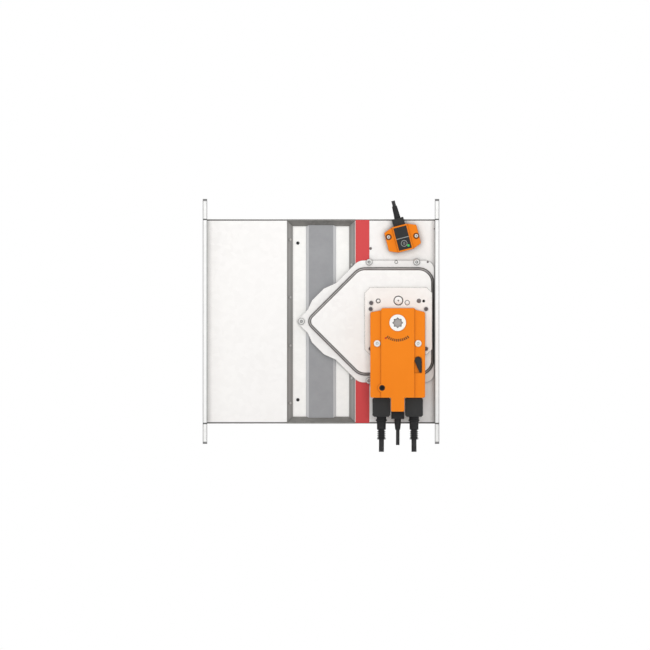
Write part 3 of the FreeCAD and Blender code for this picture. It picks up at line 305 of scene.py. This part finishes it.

# Sleeves and corner webs: galvanised sheet, folded on a press brake, nearly white in the studio.
# The inner ends are folded in at 45 degrees; they are painted darker, as painted shade and reflection of the
# recess they face.
# Each long fold is painted as a dark line: painted shade of the bend.


def zinc_group():
    """Hot-dip zinc: small spangles, faint rolling streaks and a slightly uneven shine."""
    group, entry, leave = pattern_group("zinc_spangle", ("Light", "Dark", "Spangle", "Roughness"),
                                        ("Color", "Roughness", "Height"))
    link = group.links.new
    place = group.nodes.new("ShaderNodeTexCoord").outputs["Object"]
    cells = texture(group, "Voronoi", place)
    link(entry.outputs["Spangle"], cells.inputs["Scale"])
    tone = group.nodes.new("ShaderNodeSeparateColor")
    link(cells.outputs["Color"], tone.inputs["Color"])
    clouds = texture(group, "Noise", place, Scale=9, Detail=4).outputs["Fac"]
    spangle = maths(group, "MULTIPLY", tone.outputs["Red"], clouds)
    link(mixed(group, spangle, entry.outputs["Light"], entry.outputs["Dark"]), leave.inputs["Color"])
    link(maths(group, "MULTIPLY_ADD", spangle, 0.16, entry.outputs["Roughness"]), leave.inputs["Roughness"])
    streaks = group.nodes.new("ShaderNodeMapping")
    streaks.inputs["Scale"].default_value = (0.05, 1, 1)
    link(place, streaks.inputs["Vector"])
    rolled = texture(group, "Noise", streaks.outputs["Vector"], Scale=700)
    link(rolled.outputs["Fac"], leave.inputs["Height"])
    return group


def shade_mask_group():
    """Masks for painted shade: a crevice mask where a surface meets its neighbours, and a mask along its own
    edges, which are painted darker.
    """
    group, entry, leave = pattern_group("painted_shade_masks", ("Crevice Width", "Edge Width"), ("Crevice", "Edge"))
    link = group.links.new
    hollow = group.nodes.new("ShaderNodeAmbientOcclusion")
    hollow.samples = 6
    link(entry.outputs["Crevice Width"], hollow.inputs["Distance"])
    link(ranged(group, hollow.outputs["AO"], 0.95, 0.4), leave.inputs["Crevice"])
    rounded = group.nodes.new("ShaderNodeBevel")
    rounded.samples = 4
    link(entry.outputs["Edge Width"], rounded.inputs["Radius"])
    straight = group.nodes.new("ShaderNodeNewGeometry")
    agree = group.nodes.new("ShaderNodeVectorMath")
    agree.operation = "DOT_PRODUCT"
    link(rounded.outputs["Normal"], agree.inputs[0])
    link(straight.outputs["Normal"], agree.inputs[1])
    link(ranged(group, agree.outputs["Value"], 0.995, 0.9), leave.inputs["Edge"])
    return group


ZINC = zinc_group()
SHADE_MASKS = shade_mask_group()


def zinc(name, light, dark, roughness, metallic, spangle=160):
    """Zinc-coated or other plated metal."""
    material, shader = patterned(name, ZINC, light, dark, 0.05, FINE_BUMP, Spangle=spangle, Roughness=roughness)
    shader.inputs["Metallic"].default_value = metallic
    return material


def lay_over(material, share, colour):
    """Mixes a colour over a material's own base colour."""
    tree = material.node_tree
    base = tree.nodes["Principled BSDF"].inputs["Base Color"]
    tree.links.new(mixed(tree, share, base.links[0].from_socket, colour), base)


def shade_corners(material, crevice, crevice_shade_colour, edge=0.0, edge_shade_colour=(0.5, 0.5, 0.5),
                  reach=0.003, width=0.0007):
    """Paints shade on a material where it meets another piece, and paints its edges in a darker colour as painted
    edge shade.
    """
    tree = material.node_tree
    masks = tree.nodes.new("ShaderNodeGroup")
    masks.node_tree = SHADE_MASKS
    masks.inputs["Crevice Width"].default_value = reach
    masks.inputs["Edge Width"].default_value = width
    for amount, colour, mask in ((crevice, crevice_shade_colour, "Crevice"), (edge, edge_shade_colour, "Edge")):
        if amount:
            lay_over(material, maths(tree, "MULTIPLY", masks.outputs[mask], amount), colour)


def over_place(material, axis, stops, colour, bare=None):
    """Lays a second colour over a material between distances along one axis, counted from the middle.

    Each stop is a distance and the colour's share there. Faces that look along the bare axis keep
    their own colour.
    """
    tree = material.node_tree
    place = tree.nodes.new("ShaderNodeTexCoord")
    split = tree.nodes.new("ShaderNodeSeparateXYZ")
    tree.links.new(place.outputs["Object"], split.inputs["Vector"])
    mask = tree.nodes.new("ShaderNodeFloatCurve")
    line = mask.mapping.curves[0]
    line.points[0].location = (0.0, stops[0][1])
    line.points[1].location = (1.0, stops[-1][1])
    low, high = stops[0][0], stops[-1][0]
    for at, amount in stops[1:-1]:
        line.points.new((at - low) / (high - low), amount)
    for point in line.points:
        point.handle_type = "VECTOR"
    mask.mapping.update()
    distance = maths(tree, "ABSOLUTE", split.outputs[axis])
    tree.links.new(ranged(tree, distance, low, high), mask.inputs["Value"])
    share = mask.outputs["Value"]
    if bare:
        facing = tree.nodes.new("ShaderNodeSeparateXYZ")
        tree.links.new(place.outputs["Normal"], facing.inputs["Vector"])
        shown = maths(tree, "LESS_THAN", maths(tree, "ABSOLUTE", facing.outputs[bare]), 0.5)
        share = maths(tree, "MULTIPLY", share, shown)
    lay_over(material, share, colour)


def soften(material, radius):
    """Rounds the edges of flat sheet and board in their shading, where the shape itself stays sharp."""
    tree = material.node_tree
    normal = tree.nodes["Principled BSDF"].inputs["Normal"]
    rounded = tree.nodes.new("ShaderNodeBevel")
    rounded.inputs["Radius"].default_value = radius
    tree.links.new(normal.links[0].from_socket, rounded.inputs["Normal"])
    tree.links.new(rounded.outputs["Normal"], normal)


def dress(node, material, round_off=0.0, segments=2):
    """Gives a part its finish and breaks its sharp edges, as tumbling or moulding does."""
    part = nodes[node]
    for material_slot in part.material_slots:
        material_slot.material = material
    part.data.polygons.foreach_set("use_smooth", [True] * len(part.data.polygons))
    if round_off:
        part.modifiers.new("weld", "WELD").merge_threshold = 0.00001
        edge = part.modifiers.new("round_off", "BEVEL")
        edge.width = round_off
        edge.segments = segments
        edge.limit_method = "ANGLE"
        edge.angle_limit = radians(30)
        edge.use_clamp_overlap = True
        part.modifiers.new("flat_faces", "WEIGHTED_NORMAL").keep_sharp = True


# Painted shade and reflection: the 45-degree lips are painted dark grey.
LIP_SHADE = (0.25, 0.245, 0.235)
# Painted shade: each long fold of the sleeves is painted as a dark line.
FOLD_SHADE = (0.085, 0.08, 0.078)
LIP_X = ((0.041, 0.35), (0.0425, 1), (0.0465, 0.85), (0.0500, 1), (0.0506, 0), (0.06, 0))
FOLD_Z = ((0.14, 0), (0.1488, 0), (0.1494, 1), (0.1507, 1), (0.1511, 0), (0.153, 0))
FOLD_Y = ((0.19, 0), (0.1988, 0), (0.1994, 1), (0.2007, 1), (0.2011, 0), (0.203, 0))
sleeve_zinc = zinc("sleeve_zinc", (0.945, 0.93, 0.915), (0.895, 0.88, 0.865), 0.5, 0.25)
# Painted shade: the sleeves darken where they meet the flanges and other pieces.
shade_corners(sleeve_zinc, 0.75, (0.26, 0.255, 0.25), reach=0.009)
over_place(sleeve_zinc, "X", LIP_X, LIP_SHADE)
over_place(sleeve_zinc, "Z", FOLD_Z, FOLD_SHADE, "Z")
over_place(sleeve_zinc, "Y", FOLD_Y, FOLD_SHADE, "Y")
soften(sleeve_zinc, 0.0006)
# Painted shade and reflection: the corner webs' zinc is painted dark grey, and darker still where they meet other
# pieces.
web_shade_zinc = zinc("web_shade_zinc", (0.27, 0.265, 0.25), (0.2, 0.195, 0.185), 0.42, 0.6)
shade_corners(web_shade_zinc, 0.6, (0.05, 0.05, 0.05), reach=0.004)
soften(web_shade_zinc, 0.0005)
dress("sleeve_left", sleeve_zinc)
dress("sleeve_right", sleeve_zinc)
dress("corner_webs", web_shade_zinc)

# Duct flanges: rolled hollow rails pushed onto stamped corner pieces, one frame at each end.
# The rails are white zinc, with each rolled edge painted as a darker line: painted shade of the roll. The corners
# are plain zinc, painted darker at their outer ends: painted shade.
ROLLED_EDGE_SHADE = (0.14, 0.14, 0.14)
CORNER_END_SHADE = (0.2, 0.2, 0.2)
FOOT_GREY = (0.1, 0.1, 0.1)
ROLLED_X = ((0.1685, 1), (0.1690, 1), (0.1695, 0), (0.1740, 0), (0.1744, 1), (0.1752, 1))
CORNER_END_Z = ((0.1512, 1), (0.1518, 0), (0.1775, 0), (0.1788, 1), (0.182, 1))
FOOT_Z = ((0.1490, 0), (0.1498, 0), (0.1502, 1), (0.1518, 1), (0.1522, 0), (0.153, 0))
rail_zinc = zinc("rail_zinc", (0.93, 0.93, 0.92), (0.87, 0.87, 0.86), 0.45, 0.25)
corner_zinc = zinc("corner_zinc", (0.92, 0.92, 0.91), (0.84, 0.84, 0.83), 0.42, 0.3)
over_place(rail_zinc, "X", ROLLED_X, ROLLED_EDGE_SHADE, "X")
over_place(corner_zinc, "X", ROLLED_X, ROLLED_EDGE_SHADE, "X")
over_place(corner_zinc, "Z", CORNER_END_Z, CORNER_END_SHADE, "X")
for name, finish in (("flange_rails", rail_zinc), ("flange_corners", corner_zinc)):
    over_place(finish, "Z", FOOT_Z, FOOT_GREY, "X")
    soften(finish, 0.0006)
    dress(name, finish)

# Tunnel and blade: calcium silicate board, pressed, sawn to size and drilled, chalk white with small pits.
# The tunnel's four boards line the casing between the sleeves; the blade is one board on its shaft plates.


def board_group():
    """Pressed mineral board: a chalky, faintly clouded face with fine pits and fibres."""
    group, entry, leave = pattern_group("pressed_board", ("Light", "Dark"), ("Color", "Height"))
    link = group.links.new
    place = group.nodes.new("ShaderNodeTexCoord").outputs["Object"]
    clouds = texture(group, "Noise", place, Scale=60, Detail=8, Roughness=0.7).outputs["Fac"]
    pits = texture(group, "Voronoi", place, Scale=420)
    share = ranged(group, clouds, 0.35, 0.65)
    link(mixed(group, share, entry.outputs["Light"], entry.outputs["Dark"]), leave.inputs["Color"])
    link(maths(group, "MULTIPLY_ADD", pits.outputs["Distance"], 0.6, clouds), leave.inputs["Height"])
    return group


BOARD = board_group()
BOARD_BUMP = 0.0003


def board(name, light, dark, roughness=0.85, strength=0.35):
    """Matt mineral board or strip."""
    material, shader = patterned(name, BOARD, light, dark, strength, BOARD_BUMP)
    shader.inputs["Roughness"].default_value = roughness
    return material


silicate = board("silicate_board", (0.94, 0.93, 0.905), (0.88, 0.87, 0.845))
# Painted shade: the boards darken where they meet other pieces.
shade_corners(silicate, 0.6, (0.3, 0.29, 0.28), reach=0.004)
soften(silicate, 0.001)
dress("tunnel_boards", silicate)
dress("blade_board", silicate)

# Grey bands and graphite strips: foaming board and strip that swell in a fire, glued on.
# The band's faces are mid grey, and its bevelled sides are painted lighter: a painted highlight. The strips and
# the blade's edge seal are black.
BAND_SIDE_HIGHLIGHT = (0.55, 0.55, 0.56)
BAND_SIDE_X = ((0.0, 0), (0.0178, 0), (0.0184, 1), (0.0224, 1))
band_board = board("band_board", (0.33, 0.332, 0.342), (0.3, 0.302, 0.312), 0.7, 0.2)
over_place(band_board, "X", BAND_SIDE_X, BAND_SIDE_HIGHLIGHT)
soften(band_board, 0.0006)
dress("centre_bands", band_board)
graphite = board("graphite_strip", (0.05, 0.05, 0.053), (0.03, 0.03, 0.032), 0.6, 0.5)
dress("intumescent_strips", graphite)
dress("blade_seal", graphite, 0.0006)

# Mechanism: turned and pressed steel, zinc plated, with its edges broken by tumbling.
# These are the stops, shafts, cranks, rod, plates and spacers, held by the bolts and screws below.
plated = zinc("plated_steel", (0.7, 0.7, 0.68), (0.55, 0.55, 0.53), 0.3, 0.85, 90)
# Painted shade: the plated steel darkens where it meets other pieces.
shade_corners(plated, 0.7, (0.12, 0.12, 0.12), reach=0.003)
for name in ("blade_stops", "shaft_plates", "drive_shaft", "axle_stub", "blade_crank", "drive_crank",
             "link_rod", "drive_axle", "gear_plate", "probe_stem", "tip_standoff", "console_spacers",
             "spring_barrel"):
    dress(name, plated, 0.0003)

# Fasteners: cold-headed steel screws, bolts and rivets, and the snap clips of the rod.
# Most are bright zinc; the console's screws, the clips and the motor's can are blackened,
# the boards' screws are phosphated, and the rivets are dull.
bright_screw = zinc("bright_screw", (0.86, 0.86, 0.84), (0.74, 0.74, 0.72), 0.3, 0.6, 300)
# Painted shade: the screws darken where they meet other pieces and along their edges, and the rivets' heads get a
# black painted ring of shade.
shade_corners(bright_screw, 0.8, (0.1, 0.1, 0.1), 0.55, (0.28, 0.28, 0.28), reach=0.0025, width=0.0006)
dull_rivet = zinc("dull_rivet", (0.62, 0.61, 0.6), (0.5, 0.49, 0.48), 0.3, 0.6, 300)
shade_corners(dull_rivet, 0.9, (0.02, 0.02, 0.02), 1.0, (0.02, 0.02, 0.02), reach=0.002, width=0.0008)
blackened = zinc("blackened_steel", (0.16, 0.15, 0.155), (0.09, 0.085, 0.09), 0.35, 0.7, 300)
phosphated = zinc("phosphated_steel", (0.02, 0.02, 0.02), (0.012, 0.012, 0.012), 0.5, 0.4, 300)
for name, finish in (("blade_bolts", bright_screw), ("actuator_screws", bright_screw),
                     ("probe_screws", bright_screw), ("lip_rivets", dull_rivet), ("console_screws", blackened),
                     ("link_clips", blackened), ("motor", blackened), ("board_screws", phosphated)):
    dress(name, finish, 0.0002)

# Bushes: sintered bronze, pressed into the casing on both sides and round the actuator's axle.
# Their faces stay as they leave the press, with a small chamfer.
bronze = zinc("bush_bronze", (0.62, 0.47, 0.25), (0.5, 0.37, 0.19), 0.32, 0.95, 120)
for name in ("shaft_bush", "axle_bush", "drive_bush"):
    dress(name, bronze, 0.0004)

# Cover plate: one pressing with a flat flange and a raised tray, over a black gasket.
# Its wall is painted dark at the foot and at the shoulder: painted shade and reflection. The plate also carries
# painted shade in its crevices and along its edges.
WALL_SHADE = (0.05, 0.04, 0.036)
WALL_Y = ((0.2020, 0), (0.20355, 0), (0.20385, 1), (0.2070, 1), (0.2090, 0.5), (0.2125, 0.45),
          (0.2146, 0.97), (0.2174, 0.97), (0.2181, 0), (0.22, 0))
cover_zinc = zinc("cover_zinc", (0.93, 0.915, 0.895), (0.88, 0.86, 0.845), 0.45, 0.25)
shade_corners(cover_zinc, 0.5, (0.3, 0.29, 0.285), 0.8, (0.25, 0.24, 0.235), reach=0.003, width=0.0009)
over_place(cover_zinc, "Y", WALL_Y, WALL_SHADE)
dress("cover_plate", cover_zinc, 0.0003)
dress("cover_gasket", rubber)

# Cover screws: zinc-plated pan heads that clamp the cover's flange to the casing.
# Each sits on a thin black rubber ring that stands out round it as a dark outline: painted shade round the head.
FLANGE_Y = -0.2035
COVER_SCREWS = ((0.0712, 0.0878), (0.1416, 0.0878), (-0.029, 0.0), (0.0712, -0.0878), (0.1416, -0.0878))
TOWARDS_FRONT = (0, -1, 0)


def washer(inner, outer, height):
    """The lathe section of a flat ring, or of a disc where the inner radius is 0."""
    return (inner, 0), (outer, 0), (outer, height), (inner, height), (inner, 0)


ring_screw = zinc("ring_screw", (0.8, 0.8, 0.78), (0.66, 0.66, 0.64), 0.3, 0.6, 300)
# Painted shade: the heads darken where they meet the flange and along their edges, and a thin black ring round
# each head stands in for shade.
shade_corners(ring_screw, 0.8, (0.08, 0.08, 0.08), 1.0, (0.06, 0.06, 0.06), reach=0.0025, width=0.001)
dress("cover_screws", ring_screw, 0.0002)
for number, (x, z) in enumerate(COVER_SCREWS):
    turned("shade_ring_%d" % number, washer(0.00463, 0.0049, 0.0007), (x, FLANGE_Y, z), TOWARDS_FRONT,
           rubber)

# Caps in the spare holes of the cover and the console: domed discs of pressed steel.
# Each leaves a gap round its rim, made dark by a black plate behind it: painted shade in the hole.
CONSOLE_Y = -0.22625
CONSOLE_DEPTH = 0.0029
FLANGE_DEPTH = 0.0009
BACKING = 0.0008
cap_zinc = zinc("cap_zinc", (0.92, 0.91, 0.89), (0.86, 0.85, 0.83), 0.35, 0.3)
# Painted shade: the caps darken where they meet other pieces.
shade_corners(cap_zinc, 0.5, (0.1, 0.1, 0.1), reach=0.002)
hole_shade_black = moulded("hole_shade_black", (0.09, 0.085, 0.085), (0.06, 0.056, 0.056), 0.6)
grey_cap = zinc("grey_cap", (0.2, 0.175, 0.175), (0.15, 0.13, 0.13), 0.4, 0.5)


def cap(name, x, z, hole, gap, material, front=CONSOLE_Y, depth=CONSOLE_DEPTH):
    """A domed cap filling a hole, with a ring of painted shade left open at its rim over a black backing plate
    behind.
    """
    disc = hole - gap
    turned(name, ((0, 0.0004), (disc * 0.45, 0.00035), (disc * 0.9, 0.0001), (disc, -0.0004), (disc, -depth),
                  (0, -depth), (0, 0.0004)), (x, front, z), TOWARDS_FRONT, material)
    turned(name + "_backing", washer(0, hole + BACKING, BACKING), (x, front + depth, z), (0, 1, 0),
           hole_shade_black)


cap("cover_cap", 0.1113, 0.0878, 0.0024, 0.0005, cap_zinc, FLANGE_Y, FLANGE_DEPTH)
cap("small_cap", 0.0847, 0.0303, 0.0033, 0.0009, cap_zinc)
cap("large_cap", 0.1145, 0.0308, 0.007, 0.0011, cap_zinc)
cap("side_cap", 0.1276, 0.0277, 0.0035, 0.0005, cap_zinc)
cap("grey_cap", 0.1449, 0.0303, 0.003, 0.0002, grey_cap)
cap("black_cap", 0.152, 0.0302, 0.00185, 0.0001, phosphated)
turned("large_cap_pip", ((0, 0.0009), (0.0009, 0.0008), (0.0013, 0.0002), (0, 0.0002), (0, 0.0009)),
       (0.1145, CONSOLE_Y, 0.0308), TOWARDS_FRONT, grey_cap)

# Casing rivets: three small blind rivets of dull steel, set from the front.
# One is beside the label, one by the right flange, and one at the cover's corner.
CASING_Y = -0.20125
RIVETS = ((0.0733, CASING_Y, 0.108, 0.0021), (0.1678, CASING_Y, 0.137, 0.0010), (0.158, FLANGE_Y, 0.088, 0.0016))
for number, (x, y, z, radius) in enumerate(RIVETS):
    turned("casing_rivet_%d" % number, ((0, 0.0008), (radius * 0.6, 0.0007), (radius, 0), (0, 0), (0, 0.0008)),
           (x, y, z), TOWARDS_FRONT, grey_cap)

# Console: a laser-cut steel plate with gauge holes, zinc coated, that carries the actuator.
# It stands on spacers above the cover; it darkens where it meets other pieces, and its edges are painted dark:
# painted shade.
console_zinc = zinc("console_zinc", (0.92, 0.89, 0.86), (0.88, 0.85, 0.82), 0.45, 0.25)
shade_corners(console_zinc, 0.6, (0.25, 0.23, 0.23), 1.0, (0.13, 0.125, 0.12), reach=0.003, width=0.0014)
dress("console_plate", console_zinc, 0.0003)

# Actuator: orange moulded shells with a raised middle, closed by two screws from the front.
# The pale steel behind picks up only a little of the orange: scattered light sees a paler cover.
SCATTERED_ORANGE = (0.7, 0.5, 0.38)
orange = moulded("orange_plastic", (0.86, 0.23, 0.006), (0.81, 0.205, 0.004), 0.42, 1600, 0.2, specular=0.28)
# Painted shade: the orange darkens where it meets other pieces, and its edges and ridge lines are painted dark
# orange.
shade_corners(orange, 0.4, (0.25, 0.05, 0.002), 0.8, (0.3, 0.06, 0.003), reach=0.0025, width=0.0008)
scattered = orange.node_tree.nodes.new("ShaderNodeLightPath")
lay_over(orange, scattered.outputs["Is Diffuse Ray"], SCATTERED_ORANGE)
dress("actuator_front_cover", orange, 0.0007, 3)
dress("actuator_rear_shell", orange, 0.0008)

# Black fittings of the actuator: moulded plug blocks, lock lever and winding socket, and rubber boots.
# The switch board inside is green glass-fibre laminate, held in the rear shell.
black = moulded("black_plastic", (0.026, 0.026, 0.026), (0.014, 0.014, 0.014), 0.42)
dress("plug_blocks", black, 0.0012, 3)
dress("lock_lever", black, 0.0008, 3)
dress("winding_socket", black, 0.0003)
for name in ("thin_boot", "probe_boot"):
    dress(name, rubber, 0.0004)
circuit = moulded("circuit_board", (0.03, 0.22, 0.08), (0.02, 0.16, 0.06), 0.4)
dress("switch_board", circuit)

# Spindle: a white moulded ring, gear and insert that turn together with the square axle.
# Behind the star-shaped socket lies a dark grey disc, darker still towards its rim: painted shade on the socket's
# floor. The axle's turned end fills its middle.
DRIVE_X, DRIVE_Z = 0.1135, -0.002
STAR_FLOOR_Y = -0.27095
PACKING = 0.0003
white = moulded("white_plastic", (0.9, 0.895, 0.87), (0.85, 0.845, 0.82), 0.35)
dress("spindle_ring", white, 0.0003)
dress("spindle_gear", white, 0.0002)
dress("spindle_insert", white, 0.0002)
steel_grey = zinc("axle_steel", (0.42, 0.4, 0.39), (0.36, 0.34, 0.335), 0.45, 0.5, 400)
# Painted shade: the disc on the star socket's floor is dark grey and darkens further towards its rim.
socket_floor_shade = zinc("socket_floor_shade_grey", (0.40, 0.375, 0.36), (0.35, 0.33, 0.32), 0.5, 0.2, 400)
shade_corners(socket_floor_shade, 1.0, (0.045, 0.045, 0.05), reach=0.0022)
turned("star_floor_shade", washer(0, 0.0078, PACKING), (DRIVE_X, STAR_FLOOR_Y, DRIVE_Z), TOWARDS_FRONT,
       socket_floor_shade, "spindle")
turned("axle_end", ((0, 0.0003), (0.0040, 0.0003), (0.0044, 0.0001), (0.0044, 0), (0, 0), (0, 0.0003)),
       (DRIVE_X, STAR_FLOOR_Y - PACKING, DRIVE_Z), TOWARDS_FRONT, steel_grey, "spindle")

# Indicator scale: short black ticks in an arc under the ring, with a red arrowhead at its start.
# They are pad printed on the front cover's raised middle.
RIDGE_Y = -0.27225
TICKS = 12
TICK_ARC = 36
TICK_RADIUS = 0.0259
TICK_SIZE = (0.0015, 0.0002, 0.0040)
ARROW_ANGLE = 38
ARROW_RADIUS = 0.029
ARROW_SIZE = (0.0026, 0.0002, 0.0022)


def printed(name, size, marks, material, body="casing"):
    """Thin printed marks of one size, each at its place and turned about Y."""
    shape = bmesh.new()
    for place, turn in marks:
        made = bmesh.ops.create_cube(shape, size=1.0)
        move = Matrix.Translation(place) @ Matrix.Rotation(turn, 4, "Y") @ Matrix.Diagonal((*size, 1))
        bmesh.ops.transform(shape, matrix=move, verts=made["verts"])
    finished(name, shape, material, body)


def on_scale(degrees_right, radius):
    """A mark on the scale: its place below the spindle, and its turn."""
    angle = radians(degrees_right)
    return (DRIVE_X + radius * sin(angle), RIDGE_Y, DRIVE_Z - radius * cos(angle)), -angle


ink = moulded("black_ink", (0.03, 0.02, 0.015), (0.02, 0.015, 0.01), 0.5)
red_ink = moulded("red_ink", (0.5, 0.02, 0.02), (0.4, 0.015, 0.015), 0.5)
ticks = [on_scale(-TICK_ARC + 2 * TICK_ARC * step / (TICKS - 1), TICK_RADIUS) for step in range(TICKS)]
printed("scale_marks", TICK_SIZE, ticks, ink)
printed("scale_zero", ARROW_SIZE, [on_scale(-ARROW_ANGLE, ARROW_RADIUS)], red_ink)

# Thermal probe: an orange moulded housing, screwed to the casing by its two wings at a slight tilt.
# It has a black face, a test button and a green light; a black gland holds its lead.
dress("probe_housing", orange, 0.0007, 3)
dress("probe_face", black, 0.0003)
dress("test_button", black, 0.0003)
dress("probe_gland", black, 0.0009, 3)
lens = moulded("green_lens", (0.05, 0.5, 0.11), (0.035, 0.42, 0.09), 0.2)
dress("status_light", lens, 0.0002)

# Marks and seats of the probe: a pale moulded bar parts the face from the button.
# A ring with three short strokes marks the button, and a brown ring under each screw stands in for the shade in
# its seat: painted shade.
TILT = radians(14.5)
PROBE_X, PROBE_Z = 0.1208, 0.1233
BAR_Y = -0.2236
BUTTON_Y = -0.22375
STROKE_Y = -0.2238
WING_Y = -0.21225
BAR_SIZE = (0.019, 0.0008, 0.0011)
STROKE_SIZE = (0.0034, 0.0001, 0.0006)
STROKE_PITCH = 0.0015
BUTTON_CENTRE = (0.0002, -0.0081)
SCREW_SEATS = ((-0.0197, 0.0067), (0.0204, -0.0018))


def on_probe(u, y, v):
    """A place on the probe's tilted face, from its own distances across and up."""
    return PROBE_X + u * cos(TILT) - v * sin(TILT), y, PROBE_Z + u * sin(TILT) + v * cos(TILT)


pale_print = moulded("pale_print", (0.3, 0.31, 0.3), (0.26, 0.27, 0.26), 0.5)
printed("face_bar", BAR_SIZE, [(on_probe(0, BAR_Y, 0.0003), -TILT)], pale_print)
button_u, button_v = BUTTON_CENTRE
turned("button_ring", washer(0.0039, 0.0048, 0.00015), on_probe(button_u, BUTTON_Y, button_v), TOWARDS_FRONT,
       pale_print, "test_button")
strokes = [(on_probe(button_u, STROKE_Y, button_v + row * STROKE_PITCH), -TILT) for row in (-1, 0, 1)]
printed("button_stroke", STROKE_SIZE, strokes, pale_print, "test_button")
# Painted shade: a brown ring in each screw's seat.
seat_shade_brown = moulded("seat_shade_brown", (0.25, 0.09, 0.02), (0.17, 0.06, 0.015), 0.5)
for number, (u, v) in enumerate(SCREW_SEATS):
    turned("seat_shade_ring_%d" % number, washer(0.0029, 0.0044, 0.0005), on_probe(u, WING_Y, v), TOWARDS_FRONT,
           seat_shade_brown)

# Label: a red self-adhesive film, die-cut and stuck on the sleeve beside the wall zone.
# It is left bare.
film = moulded("red_film", (0.64, 0.068, 0.072), (0.6, 0.06, 0.064), 0.45, 2400, 0.1)
dress("label_strip", film)
